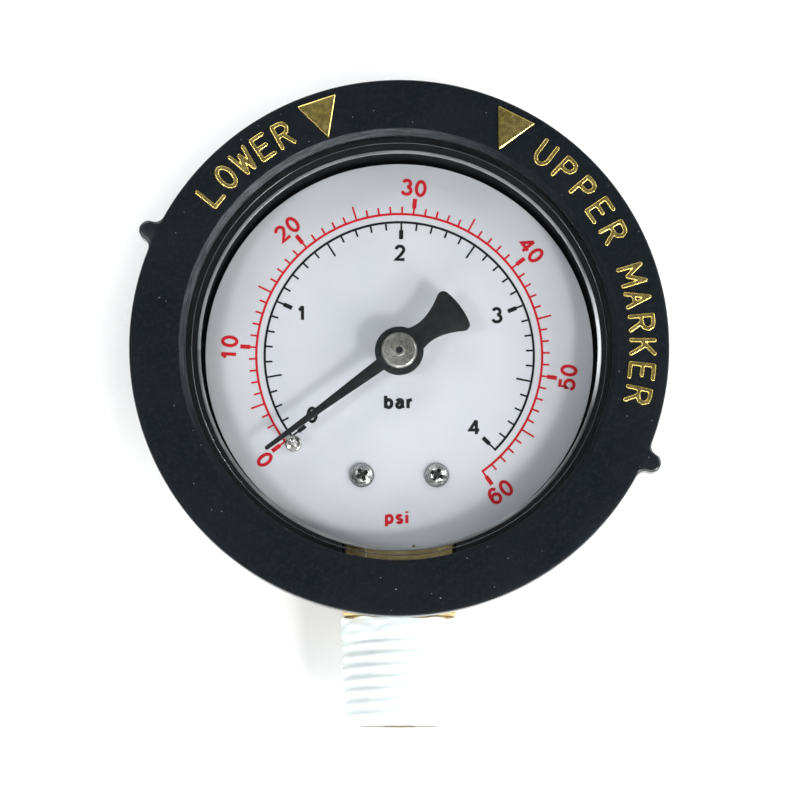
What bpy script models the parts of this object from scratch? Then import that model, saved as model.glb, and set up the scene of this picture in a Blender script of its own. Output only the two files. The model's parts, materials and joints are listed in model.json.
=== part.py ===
"""Bourdon-tube pressure gauge for a pool filter, with a turning marker ring. Metres, +Z up.

The dial faces -Y. The origin is the centre of the case's flat back and the gauge's axis runs along Y.
Every piece is modelled in the front frame: x to the right, y up and z towards the viewer, so a height
is a distance from the case's back. One empty turns the front frame into the world.
"""

import math

import bmesh
import bpy
from mathutils import Matrix

MM = 0.001
GAP = 0.3 * MM  # play between neighbouring pieces
LARGE_STEPS = 60  # facets round a large turned piece
SMALL_STEPS = 14  # facets round a small one

# Case and window
CASE_RADIUS = 25.2 * MM
CASE_BORE_RADIUS = 23.7 * MM
CASE_BACK_THICKNESS = 2.0 * MM
CASE_BACK_CHAMFER = 1.0 * MM
CASE_RIM_HEIGHT = 22.2 * MM
CASE_BAND_RADIUS = 25.9 * MM
CASE_BAND_HEIGHT = 18.5 * MM
WINDOW_RADIUS = CASE_BAND_RADIUS
WINDOW_THICKNESS = 1.6 * MM
WINDOW_BACK = CASE_RIM_HEIGHT + GAP
WINDOW_FRONT = WINDOW_BACK + WINDOW_THICKNESS
SPIGOT_OUTER_RADIUS = CASE_BORE_RADIUS - GAP
SPIGOT_INNER_RADIUS = 22.8 * MM
SPIGOT_LENGTH = 1.6 * MM

# Marker ring
RING_RADIUS = 31.75 * MM
RING_FACE_HEIGHT = 26.0 * MM
RING_FLANGE_THICKNESS = 3.0 * MM
RING_EDGE = 0.4 * MM
RING_FACE_INNER_RADIUS = 25.8 * MM
RING_LIP_RADIUS = 24.9 * MM
RING_LIP_CHAMFER_DEPTH = 1.0 * MM
RING_BORE_RADIUS = CASE_BAND_RADIUS + GAP
RING_COLLAR_RADIUS = 28.2 * MM
RING_BEAD_RADIUS = CASE_RADIUS + GAP
RING_BEAD_THICKNESS = 1.0 * MM
TAB_ANGLES = (155.0, -25.0)
TAB_BULB_RADIUS = 1.13 * MM
TAB_BULB_DISTANCE = 32.6 * MM
TAB_FILLET_RADIUS = 1.1 * MM

# Dial
DIAL_RADIUS = 23.2 * MM
DIAL_BACK = 16.2 * MM
DIAL_THICKNESS = 0.5 * MM
DIAL_FRONT = DIAL_BACK + DIAL_THICKNESS
DIAL_CENTRE_HOLE_RADIUS = 2.2 * MM
DIAL_NOTCH_ANGLE = -85.7
DIAL_NOTCH_DEPTH = 0.5 * MM
DIAL_NOTCH_HALF_ANGLE = 1.2
DIAL_SCREW_SPACING = 8.92 * MM
DIAL_SCREW_Y = -14.4 * MM
DIAL_SCREW_HEAD_RADIUS = 1.45 * MM
DIAL_SCREW_HEAD_HEIGHT = 1.0 * MM
DIAL_SCREW_TOP_RADIUS = 0.75 * DIAL_SCREW_HEAD_RADIUS
DIAL_SCREW_DOME_HEIGHT = DIAL_SCREW_HEAD_HEIGHT / 3
DIAL_SCREW_TOP_STEP = 0.05 * MM
DIAL_SCREW_RADIUS = 0.8 * MM
DIAL_SCREW_DEPTH = 5.0 * MM
STOP_PIN_DISTANCE = 16.5 * MM
STOP_PIN_ANGLE = 220.0
STOP_PIN_RADIUS = 0.35 * MM
STOP_PIN_FLANGE_RADIUS = 1.0 * MM
STOP_PIN_FLANGE_HEIGHT = 0.35 * MM
STOP_PIN_TOP = 21.9 * MM

# Pointer and its hub
POINTER_BACK = 21.1 * MM
POINTER_THICKNESS = 0.3 * MM
POINTER_REST_ANGLE = 216.4
POINTER_LENGTH = 19.7 * MM
POINTER_DISC_RADIUS = 2.9 * MM
POINTER_ROOT_HALF_WIDTH = 0.75 * MM
POINTER_TIP_HALF_WIDTH = 0.25 * MM
TAIL_NECK_HALF_WIDTH = 1.05 * MM
TAIL_ROOT_HALF_WIDTH = 1.4 * TAIL_NECK_HALF_WIDTH
TAIL_NECK_DISTANCE = 4.6 * MM
TAIL_FAN_RADIUS = 9.0 * MM
TAIL_FAN_HALF_ANGLE = 19.0
TAIL_CORNER_RADIUS = 0.5 * MM
TAIL_CORNER_SPAN = (-60.0, 50.0)  # from the direction square to the fan's straight side
HUB_RADIUS = 1.9 * MM
HUB_BACK = 17.9 * MM
HUB_NECK_RADIUS = 1.1 * MM
HUB_CAP_RADIUS = 2.15 * MM
HUB_CAP_HEIGHT = 0.45 * MM
HUB_CAP_CHAMFER = 0.2 * MM

# Movement: gears, arbors, plates and pillars
GEAR_MODULE = 0.22 * MM
PINION_TEETH = 10
SECTOR_TEETH = 100  # teeth of the whole circle that the sector is part of
SECTOR_TEETH_CUT = 12
PRESSURE_ANGLE = 25.0
ADDENDUM = 0.8  # in modules
DEDENDUM = 1.05  # in modules
BACKLASH = 0.05 * MM
PINION_PITCH_RADIUS = PINION_TEETH * GEAR_MODULE / 2
SECTOR_PITCH_RADIUS = SECTOR_TEETH * GEAR_MODULE / 2
SECTOR_PIVOT_ANGLE = -45.0
SECTOR_REST_PITCHES = 1.5  # how far the last tooth stands past the line of centres at rest
SECTOR_RIM_WIDTH = 1.6 * MM
SECTOR_WINDOW_INNER_RADIUS = 3.4 * MM
SECTOR_ARM_ANGLE = 6.0
SECTOR_BACK = 9.5 * MM
SECTOR_THICKNESS = 1.0 * MM
SECTOR_HUB_RADIUS = 1.9 * MM
SECTOR_HUB_FRONT_STEP = 0.3 * MM
SECTOR_HUB_BACK_STEP = 0.1 * MM
SECTOR_TAIL_STEP = 0.05 * MM
SECTOR_TAIL_LENGTH = 3.6 * MM
SECTOR_TAIL_ANGLE = -32.0
EYE_RADIUS = 1.25 * MM
PINION_WIDTH = 1.6 * MM
ARBOR_RADIUS = 0.5 * MM
ARBOR_BACK = 5.2 * MM
ARBOR_HOLE_RADIUS = ARBOR_RADIUS + GAP
PINION_ARBOR_FRONT = 22.1 * MM
SECTOR_ARBOR_FRONT = 15.4 * MM
BACK_PLATE_BACK = 6.0 * MM
FRONT_PLATE_BACK = 13.6 * MM
PLATE_THICKNESS = 1.0 * MM
PLATE_CORNER_RADIUS = 2.2 * MM
PILLAR_RADIUS = 1.5 * MM
PILLAR_PLACES = {
    "left": (-6.6 * MM, 3.0 * MM),
    "right": (8.5 * MM, 4.6 * MM),
    "low": (-4.5 * MM, -10.0 * MM),
}
SMALL_SCREW_RADIUS = 0.55 * MM
SMALL_SCREW_HEAD_RADIUS = 1.2 * MM
SMALL_SCREW_HEAD_HEIGHT = 0.8 * MM
PLATE_SCREW_DEPTH = 4.0 * MM
HAIRSPRING_INNER_RADIUS = 1.9 * MM
HAIRSPRING_OUTER_RADIUS = 4.9 * MM
HAIRSPRING_TURNS = 3
HAIRSPRING_WIRE_RADIUS = 0.12 * MM
HAIRSPRING_HEIGHT = 12.1 * MM
HAIRSPRING_END_ANGLE = 200.0
COLLET_OUTER_RADIUS = 1.5 * MM
COLLET_HALF_HEIGHT = 0.6 * MM
STUD_DISTANCE = 5.75 * MM

# Bourdon tube, its end piece and the link
TUBE_RADIUS = 19.0 * MM
TUBE_HEIGHT = 9.05 * MM
TUBE_SECTION = (2.2 * MM, 7.0 * MM)  # radial size, size along the gauge's axis
TUBE_WALL = 0.4 * MM
TUBE_START_ANGLE = -9.0
TUBE_END_ANGLE = 255.0
TUBE_BORE_OVERRUN = 6.0
TUBE_POCKET_START_ANGLE = 236.0
TUBE_POCKET_END_ANGLE = TUBE_END_ANGLE + 1.5
TIP_BLOCK_ANGLES = (-12.0, -5.0)
TIP_BLOCK_WALL = 0.8 * MM
TIP_POCKET_ANGLES = (-10.0, 5.0)
TIP_LUG_ANGLE = TIP_BLOCK_ANGLES[0] + 0.6
TIP_FLEX_CENTRE = (-4.4 * MM, 6.1 * MM)
TIP_PIVOT = (16.6 * MM, -5.5 * MM)
LINK_BACK = 8.2 * MM
LINK_THICKNESS = 1.0 * MM
LINK_PIN_BACK = 7.2 * MM
LINK_PIN_FRONT = 11.1 * MM
LINK_PIN_HEAD_RADIUS = 0.95 * MM
LINK_PIN_HEAD_HEIGHT = 0.6 * MM

# Socket: brass block, foot and 1/4-18 NPT stem
BLOCK_HALF_WIDTH = 6.55 * MM
FLATS_HALF_WIDTH = 6.75 * MM
FLATS_TOP = -25.7 * MM
BLOCK_BACK = 2.3 * MM
BLOCK_FRONT = 15.8 * MM
BLOCK_TOP = -12.6 * MM
BLOCK_BOTTOM = -31.0 * MM
BLOCK_EDGE = 0.25 * MM
FOOT_BACK = 2.7 * MM
FOOT_FRONT = BACK_PLATE_BACK - GAP
FOOT_TOP = -3.0 * MM
STEM_AXIS_HEIGHT = 9.05 * MM
STEM_TOP_RADIUS = 6.75 * MM
STEM_TAPER = 1 / 32  # loss of radius per length of an NPT thread
STEM_END = -44.0 * MM
STEM_CHAMFER = 1.2 * MM
PRESSURE_BORE_RADIUS = 2.0 * MM
PRESSURE_BORE_TOP = -20.5 * MM
CROSS_BORE_RADIUS = 0.7 * MM
CROSS_BORE_LENGTH = 6.0 * MM
CROSS_BORE_ANGLE = 60.0
CASE_SCREW_X = 4.2 * MM
CASE_SCREW_Y = -21.6 * MM
CASE_SCREW_HEAD_RADIUS = 2.0 * MM
CASE_SCREW_HEAD = (0.15 * MM, 0.95 * MM)  # heights of its two faces
CASE_SCREW_RADIUS = 0.85 * MM
CASE_SCREW_FRONT = 7.5 * MM
CASE_COUNTERBORE_DEPTH = 1.25 * MM
MOVEMENT_SCREW_PLACES = {"left": (-3.9 * MM, -6.0 * MM), "right": (4.4 * MM, -6.6 * MM)}
TAPE_TOP = -31.3 * MM
TAPE_END_CLEARANCE = 0.15 * MM
TAPE_THICKNESS = 0.25 * MM
TAPE_CLEARANCE = 0.2 * MM

FINISHES = {  # base colour, roughness, metallic
    "black_plastic": ((0.020, 0.024, 0.028), 0.45, 0.0),
    "clear_plastic": ((0.90, 0.93, 0.95), 0.05, 0.0),
    "white_enamel": ((0.66, 0.66, 0.72), 0.50, 0.0),
    "black_enamel": ((0.010, 0.010, 0.012), 0.50, 0.0),
    "nickel": ((0.55, 0.53, 0.50), 0.30, 1.0),
    "steel": ((0.45, 0.45, 0.46), 0.35, 1.0),
    "brass": ((0.55, 0.38, 0.14), 0.35, 1.0),
    "bronze": ((0.48, 0.28, 0.12), 0.35, 1.0),
    "white_tape": ((0.80, 0.82, 0.85), 0.60, 0.0),
}


# ---------------------------------------------------------------- scene and helpers


def clear_scene():
    for obj in list(bpy.data.objects):
        bpy.data.objects.remove(obj, do_unlink=True)


def new_collection(name):
    collection = bpy.data.collections.new(name)
    bpy.context.scene.collection.children.link(collection)
    return collection


clear_scene()
PARTS = new_collection("pressure_gauge")
CUTTERS = new_collection("cutters")
FRONT_FRAME = bpy.data.objects.new("front_frame", None)
FRONT_FRAME.rotation_euler = (math.pi / 2, 0, 0)
PARTS.objects.link(FRONT_FRAME)


def polar(radius, degrees, centre=(0, 0)):
    angle = math.radians(degrees)
    return (centre[0] + radius * math.cos(angle), centre[1] + radius * math.sin(angle))


SECTOR_PIVOT = polar(PINION_PITCH_RADIUS + SECTOR_PITCH_RADIUS, SECTOR_PIVOT_ANGLE)
SECTOR_TAIL = polar(SECTOR_TAIL_LENGTH, SECTOR_TAIL_ANGLE, SECTOR_PIVOT)


def make_material(name, finish):
    colour, roughness, metallic = FINISHES[finish]
    material = bpy.data.materials.new(name + "_" + finish)
    material.use_nodes = True
    shader = material.node_tree.nodes["Principled BSDF"]
    shader.inputs["Base Color"].default_value = (*colour, 1)
    shader.inputs["Roughness"].default_value = roughness
    shader.inputs["Metallic"].default_value = metallic
    material.diffuse_color = (*colour, 1)
    return material


def add_object(name, mesh, finish, pivot=(0, 0)):
    """Puts a mesh in the front frame. Its origin is the pivot, so the mesh is moved back by it."""
    obj = bpy.data.objects.new(name, mesh)
    for vertex in mesh.vertices:
        vertex.co.x -= pivot[0]
        vertex.co.y -= pivot[1]
    obj.location = (*pivot, 0)
    obj.parent = FRONT_FRAME
    if finish is None:
        CUTTERS.objects.link(obj)
        obj.hide_render = True
        obj.display_type = "WIRE"
    else:
        PARTS.objects.link(obj)
        mesh.materials.append(make_material(name, finish))
    mesh.shade_smooth()
    mesh.set_sharp_from_angle(angle=math.radians(30))
    return obj


def mesh_from(bm, name):
    mesh = bpy.data.meshes.new(name)
    bm.to_mesh(mesh)
    bm.free()
    return mesh


def box(name, finish, low, high):
    bm = bmesh.new()
    bmesh.ops.create_cube(bm, size=1)
    for vertex in bm.verts:
        vertex.co = [
            (low[i] + high[i]) / 2 + (high[i] - low[i]) * vertex.co[i] for i in range(3)
        ]
    return add_object(name, mesh_from(bm, name), finish)


def turned(name, finish, profile, closed, steps=LARGE_STEPS, centre=(0, 0), pivot=(0, 0)):
    """A profile of (radius, height) points, run down its outer side, turned about the axis at centre."""
    bm = bmesh.new()
    points = [bm.verts.new((radius, 0, height)) for radius, height in profile]
    for start, end in zip(points, points[1:]):
        bm.edges.new((start, end))
    if closed:
        bm.edges.new((points[-1], points[0]))
    obj = add_object(name, mesh_from(bm, name), finish)
    obj.location = (*centre, 0)
    screw = obj.modifiers.new("turn", "SCREW")
    screw.axis = "Z"
    screw.steps = steps
    screw.render_steps = steps
    screw.use_merge_vertices = True
    screw.merge_threshold = 0.00001
    if pivot == (0, 0) and centre == (0, 0):
        return obj
    bpy.context.view_layer.update()
    graph = bpy.context.evaluated_depsgraph_get()
    mesh = bpy.data.meshes.new_from_object(obj.evaluated_get(graph))
    bpy.data.objects.remove(obj)
    for vertex in mesh.vertices:
        vertex.co.x += centre[0]
        vertex.co.y += centre[1]
    mesh.materials.clear()
    return add_object(name, mesh, finish, pivot)


def rod(name, finish, sections, steps=SMALL_STEPS, centre=(0, 0), pivot=(0, 0)):
    """A stepped round bar. sections run front to back: (radius, front height, back height)."""
    profile = [(0, sections[0][1])]
    for radius, front, back in sections:
        profile += [(radius, front), (radius, back)]
    profile.append((0, sections[-1][2]))
    return turned(name, finish, profile, False, steps, centre, pivot)


def sleeve(name, finish, inner, outer, back, front, steps=SMALL_STEPS, centre=(0, 0)):
    profile = [(outer, front), (outer, back), (inner, back), (inner, front)]
    return turned(name, finish, profile, True, steps, centre)


def circle(radius, centre=(0, 0), steps=SMALL_STEPS):
    return [polar(radius, 360 * i / steps, centre) for i in range(steps)]


def arc(centre, radius, start, end, count=6):
    return [
        polar(radius, start + (end - start) * i / (count - 1), centre)
        for i in range(count)
    ]


def rounded(corners, radius, count=6):
    """Outline of the convex shape that circles at the corners, listed counter-clockwise, would span."""
    outline = []
    for i, corner in enumerate(corners):
        before = corners[i - 1]
        after = corners[(i + 1) % len(corners)]
        start = math.degrees(math.atan2(corner[1] - before[1], corner[0] - before[0])) - 90
        end = math.degrees(math.atan2(after[1] - corner[1], after[0] - corner[0])) - 90
        outline += arc(corner, radius, start, start + (end - start) % 360, count)
    return outline


def plate(name, finish, outlines, back, front, pivot=(0, 0)):
    """A flat piece: the first outline is its edge, and the others are holes through it."""
    curve = bpy.data.curves.new(name + "_outline", "CURVE")
    curve.dimensions = "2D"
    curve.fill_mode = "BOTH"
    curve.extrude = (front - back) / 2
    for outline in outlines:
        spline = curve.splines.new("POLY")
        spline.points.add(len(outline) - 1)
        for point, (x, y) in zip(spline.points, outline):
            point.co = (x, y, 0, 1)
        spline.use_cyclic_u = True
    flat = bpy.data.objects.new(name + "_outline", curve)
    flat.location.z = (front + back) / 2
    CUTTERS.objects.link(flat)
    bpy.context.view_layer.update()
    graph = bpy.context.evaluated_depsgraph_get()
    mesh = bpy.data.meshes.new_from_object(flat.evaluated_get(graph))
    bm = bmesh.new()
    bm.from_mesh(mesh)
    bmesh.ops.remove_doubles(bm, verts=bm.verts, dist=0.000001)
    bmesh.ops.transform(bm, matrix=flat.matrix_world, verts=bm.verts)
    bmesh.ops.recalc_face_normals(bm, faces=bm.faces)
    bm.to_mesh(mesh)
    bm.free()
    bpy.data.objects.remove(flat)
    return add_object(name, mesh, finish, pivot)


def arc_bar(name, finish, section, start, end, steps, pivot=(0, 0)):
    """A bar of rounded section, (radial, axial) in size, bent to the tube's radius between two angles."""
    half_radial, half_axial = section[0] / 2, section[1] / 2
    straight = half_axial - half_radial
    outline = arc((TUBE_RADIUS, TUBE_HEIGHT + straight), half_radial, 0, 180, 4)
    outline += arc((TUBE_RADIUS, TUBE_HEIGHT - straight), half_radial, 180, 360, 4)
    bm = bmesh.new()
    face = bm.faces.new([bm.verts.new((radius, 0, height)) for radius, height in outline])
    turn = Matrix.Rotation(math.radians(start), 3, "Z")
    bmesh.ops.rotate(bm, verts=bm.verts, cent=(0, 0, 0), matrix=turn)
    sweep = math.radians(end - start)
    bmesh.ops.spin(bm, geom=[face], cent=(0, 0, 0), axis=(0, 0, 1), angle=sweep, steps=steps)
    bmesh.ops.recalc_face_normals(bm, faces=bm.faces)
    return add_object(name, mesh_from(bm, name), finish, pivot)


def combine(obj, other, operation):
    modifier = obj.modifiers.new(operation.lower(), "BOOLEAN")
    modifier.operation = operation
    modifier.object = other


def drill(obj, centre, radius, back, front, steps=SMALL_STEPS):
    name = f"{obj.name}_cutter_{len(obj.modifiers)}"
    cutter = rod(name, None, [(radius, front, back)], steps, centre)
    combine(obj, cutter, "DIFFERENCE")


# ---------------------------------------------------------------- case, window and ring


def make_case():
    profile = [
        (0, CASE_BACK_THICKNESS),
        (CASE_BORE_RADIUS, CASE_BACK_THICKNESS),
        (CASE_BORE_RADIUS, CASE_RIM_HEIGHT),
        (CASE_BAND_RADIUS, CASE_RIM_HEIGHT),
        (CASE_BAND_RADIUS, CASE_BAND_HEIGHT),
        (CASE_RADIUS, CASE_BAND_HEIGHT),
        (CASE_RADIUS, CASE_BACK_CHAMFER),
        (CASE_RADIUS - CASE_BACK_CHAMFER, 0),
        (0, 0),
    ]
    case = turned("case", "black_plastic", profile, closed=False)
    half_width = BLOCK_HALF_WIDTH + GAP
    notch = box(
        "case_notch",
        None,
        (-half_width, -2 * CASE_RADIUS, CASE_BACK_THICKNESS),
        (half_width, BLOCK_TOP, CASE_RIM_HEIGHT + MM),
    )
    combine(case, notch, "DIFFERENCE")
    for x in (-CASE_SCREW_X, CASE_SCREW_X):
        place = (x, CASE_SCREW_Y)
        drill(case, place, CASE_SCREW_RADIUS + GAP, -MM, CASE_BACK_THICKNESS + MM)
        drill(case, place, CASE_SCREW_HEAD_RADIUS + GAP, -MM, CASE_COUNTERBORE_DEPTH)


def make_window():
    profile = [
        (0, WINDOW_FRONT),
        (WINDOW_RADIUS, WINDOW_FRONT),
        (WINDOW_RADIUS, WINDOW_BACK),
        (SPIGOT_OUTER_RADIUS, WINDOW_BACK),
        (SPIGOT_OUTER_RADIUS, WINDOW_BACK - SPIGOT_LENGTH),
        (SPIGOT_INNER_RADIUS, WINDOW_BACK - SPIGOT_LENGTH),
        (SPIGOT_INNER_RADIUS, WINDOW_BACK),
        (0, WINDOW_BACK),
    ]
    turned("window", "clear_plastic", profile, closed=False)


def tab_outline():
    """A finger tab at angle 0: a bulb that runs into the ring's edge through two fillets."""
    reach = RING_RADIUS + TAB_FILLET_RADIUS
    span = TAB_BULB_RADIUS + TAB_FILLET_RADIUS
    x = (reach**2 - span**2 + TAB_BULB_DISTANCE**2) / (2 * TAB_BULB_DISTANCE)
    y = math.sqrt(reach**2 - x**2)
    to_ring = math.degrees(math.atan2(-y, -x)) + 360
    to_bulb = math.degrees(math.atan2(-y, TAB_BULB_DISTANCE - x)) + 360
    upper = arc((x, y), TAB_FILLET_RADIUS, to_ring, to_bulb)
    bulb = arc((TAB_BULB_DISTANCE, 0), TAB_BULB_RADIUS, to_bulb - 180, 180 - to_bulb, 9)
    lower = [(px, -py) for px, py in reversed(upper)]
    root = RING_RADIUS - 2 * MM
    return [(root, y)] + upper + bulb[1:-1] + lower + [(root, -y)]


def make_bezel_ring():
    flange_back = RING_FACE_HEIGHT - RING_FLANGE_THICKNESS
    bead_back = CASE_BAND_HEIGHT - GAP - RING_BEAD_THICKNESS
    bead_front = bead_back + RING_BEAD_THICKNESS
    lip_back = WINDOW_FRONT + GAP
    profile = [
        (RING_RADIUS - RING_EDGE, RING_FACE_HEIGHT),
        (RING_RADIUS, RING_FACE_HEIGHT - RING_EDGE),
        (RING_RADIUS, flange_back + RING_EDGE),
        (RING_RADIUS - RING_EDGE, flange_back),
        (RING_COLLAR_RADIUS, flange_back),
        (RING_COLLAR_RADIUS, bead_back),
        (RING_BEAD_RADIUS, bead_back),
        (RING_BEAD_RADIUS, bead_front),
        (RING_BORE_RADIUS, bead_front),
        (RING_BORE_RADIUS, lip_back),
        (RING_LIP_RADIUS, lip_back),
        (RING_LIP_RADIUS, RING_FACE_HEIGHT - RING_LIP_CHAMFER_DEPTH),
        (RING_FACE_INNER_RADIUS, RING_FACE_HEIGHT),
    ]
    ring = turned("bezel_ring", "black_plastic", profile, closed=True)
    for number, angle in enumerate(TAB_ANGLES):
        tab = plate(
            f"bezel_tab_{number}",
            None,
            [tab_outline()],
            flange_back + RING_EDGE / 2,
            RING_FACE_HEIGHT - RING_EDGE / 2,
        )
        tab.rotation_euler.z = math.radians(angle)
        combine(ring, tab, "UNION")


# ---------------------------------------------------------------- dial and pointer


def dial_edge():
    """The dial's round edge with a small V notch that marks its place on the press."""
    edge = arc(
        (0, 0),
        DIAL_RADIUS,
        DIAL_NOTCH_ANGLE + DIAL_NOTCH_HALF_ANGLE,
        DIAL_NOTCH_ANGLE + 360 - DIAL_NOTCH_HALF_ANGLE,
        LARGE_STEPS,
    )
    return edge + [polar(DIAL_RADIUS - DIAL_NOTCH_DEPTH, DIAL_NOTCH_ANGLE)]


def dial_screw_places():
    half = DIAL_SCREW_SPACING / 2
    return {"left": (-half, DIAL_SCREW_Y), "right": (half, DIAL_SCREW_Y)}


def make_dial():
    stop = polar(STOP_PIN_DISTANCE, STOP_PIN_ANGLE)
    holes = [circle(DIAL_CENTRE_HOLE_RADIUS), circle(STOP_PIN_RADIUS + GAP, stop)]
    for place in dial_screw_places().values():
        holes.append(circle(DIAL_SCREW_RADIUS + GAP, place))
    plate("dial_plate", "white_enamel", [dial_edge()] + holes, DIAL_BACK, DIAL_FRONT)


def make_dial_screws():
    head_back = DIAL_FRONT + GAP
    head_front = head_back + DIAL_SCREW_HEAD_HEIGHT
    for side, place in dial_screw_places().items():
        sections = [
            (DIAL_SCREW_TOP_RADIUS, head_front, head_front - DIAL_SCREW_TOP_STEP),
            (DIAL_SCREW_HEAD_RADIUS, head_front - DIAL_SCREW_DOME_HEIGHT, head_back),
            (DIAL_SCREW_RADIUS, head_back, BLOCK_FRONT - DIAL_SCREW_DEPTH),
        ]
        rod(f"dial_screw_{side}", "steel", sections, centre=place)


def make_stop_pin():
    flange_back = DIAL_FRONT + GAP
    flange_front = flange_back + STOP_PIN_FLANGE_HEIGHT
    sections = [
        (STOP_PIN_RADIUS, STOP_PIN_TOP, flange_front),
        (STOP_PIN_FLANGE_RADIUS, flange_front, flange_back),
        (STOP_PIN_RADIUS, flange_back, DIAL_BACK - MM),
    ]
    rod("stop_pin", "nickel", sections, centre=polar(STOP_PIN_DISTANCE, STOP_PIN_ANGLE))


def pointer_outline():
    """The pointer pointing along +X: a long tapering blade, a disc round the hub and a fan-shaped tail."""
    blade_root = math.degrees(math.asin(POINTER_ROOT_HALF_WIDTH / POINTER_DISC_RADIUS))
    neck_root = math.degrees(math.asin(TAIL_ROOT_HALF_WIDTH / POINTER_DISC_RADIUS))
    tip = arc(
        (POINTER_LENGTH - POINTER_TIP_HALF_WIDTH, 0), POINTER_TIP_HALF_WIDTH, -90, 90, 5
    )
    upper_disc = arc((0, 0), POINTER_DISC_RADIUS, blade_root, 180 - neck_root, 9)
    neck = [(-TAIL_NECK_DISTANCE, TAIL_NECK_HALF_WIDTH)]
    fan_corner = TAIL_FAN_HALF_ANGLE - math.degrees(TAIL_CORNER_RADIUS / TAIL_FAN_RADIUS)
    corner = polar(TAIL_FAN_RADIUS - TAIL_CORNER_RADIUS, 180 - fan_corner)
    start, end = [90 + TAIL_FAN_HALF_ANGLE + turn for turn in TAIL_CORNER_SPAN]
    rounded_corner = arc(corner, TAIL_CORNER_RADIUS, start, end, 4)
    fan = arc((0, 0), TAIL_FAN_RADIUS, 180 - fan_corner * 0.9, 180, 5)
    upper = upper_disc + neck + rounded_corner + fan
    lower = [(x, -y) for x, y in reversed(upper[:-1])]
    return tip[2:] + upper + lower + tip[:2]


def make_pointer():
    outline = pointer_outline()
    pointer = plate(
        "pointer",
        "black_enamel",
        [outline, circle(HUB_NECK_RADIUS + GAP)],
        POINTER_BACK,
        POINTER_BACK + POINTER_THICKNESS,
    )
    pointer.rotation_euler.z = math.radians(POINTER_REST_ANGLE)


def make_pointer_hub():
    neck_back = POINTER_BACK - GAP
    neck_front = POINTER_BACK + POINTER_THICKNESS + GAP
    cap_front = neck_front + HUB_CAP_HEIGHT
    profile = [
        (HUB_CAP_RADIUS - HUB_CAP_CHAMFER, cap_front),
        (HUB_CAP_RADIUS, cap_front - HUB_CAP_CHAMFER),
        (HUB_CAP_RADIUS, neck_front),
        (HUB_NECK_RADIUS, neck_front),
        (HUB_NECK_RADIUS, neck_back),
        (HUB_RADIUS, neck_back),
        (HUB_RADIUS, HUB_BACK),
        (ARBOR_HOLE_RADIUS, HUB_BACK),
        (ARBOR_HOLE_RADIUS, cap_front),
    ]
    turned("pointer_hub", "nickel", profile, closed=True, steps=SMALL_STEPS)


# ---------------------------------------------------------------- movement


def involute(degrees):
    angle = math.radians(degrees)
    return math.degrees(math.tan(angle) - angle)


def tooth_flank(teeth):
    """(radius, half angle) points of one involute flank, from the root to the tip."""
    pitch_radius = teeth * GEAR_MODULE / 2
    base_radius = pitch_radius * math.cos(math.radians(PRESSURE_ANGLE))
    root_radius = pitch_radius - DEDENDUM * GEAR_MODULE
    tip_radius = pitch_radius + ADDENDUM * GEAR_MODULE
    half_tooth = 90 / teeth - math.degrees(BACKLASH / 4 / pitch_radius)
    start = max(base_radius, root_radius)
    points = []
    for i in range(4):
        radius = start + (tip_radius - start) * i / 3
        roll = math.degrees(math.acos(min(1, base_radius / radius)))
        points.append((radius, half_tooth + involute(PRESSURE_ANGLE) - involute(roll)))
    if root_radius < base_radius:
        points.insert(0, (root_radius, points[0][1]))
    return points


def tooth_outline(teeth, centre_angle):
    flank = tooth_flank(teeth)
    rising = [polar(radius, centre_angle - half) for radius, half in flank]
    falling = [polar(radius, centre_angle + half) for radius, half in reversed(flank)]
    return rising + falling


def make_pinion_arbor():
    """The pinion has a tooth on the line to the sector's pivot when the pointer rests."""
    outline = []
    for tooth in range(PINION_TEETH):
        angle = SECTOR_PIVOT_ANGLE + 360 * tooth / PINION_TEETH
        outline += tooth_outline(PINION_TEETH, angle)
    middle = SECTOR_BACK + SECTOR_THICKNESS / 2
    teeth = plate(
        "pinion_teeth",
        None,
        [outline],
        middle - PINION_WIDTH / 2,
        middle + PINION_WIDTH / 2,
    )
    arbor = rod("pinion_arbor", "steel", [(ARBOR_RADIUS, PINION_ARBOR_FRONT, ARBOR_BACK)])
    combine(arbor, teeth, "UNION")


def sector_outlines():
    """The toothed fan about its pivot, with a window that leaves two arms and a rim."""
    pitch = 360 / SECTOR_TEETH
    first = SECTOR_PIVOT_ANGLE + 180 + SECTOR_REST_PITCHES * pitch
    outline = [(0, 0)]
    for tooth in reversed(range(SECTOR_TEETH_CUT)):
        outline += tooth_outline(SECTOR_TEETH, first - tooth * pitch)
    last = first - (SECTOR_TEETH_CUT - 1) * pitch
    rim_radius = SECTOR_PITCH_RADIUS - SECTOR_RIM_WIDTH
    inner_arm_angle = 3 * SECTOR_ARM_ANGLE
    window = arc((0, 0), rim_radius, last + SECTOR_ARM_ANGLE, first - SECTOR_ARM_ANGLE, 8)
    window += arc(
        (0, 0), SECTOR_WINDOW_INNER_RADIUS, first - inner_arm_angle, last + inner_arm_angle, 4
    )
    return [
        [(x + SECTOR_PIVOT[0], y + SECTOR_PIVOT[1]) for x, y in shape]
        for shape in (outline, window)
    ]


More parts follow.
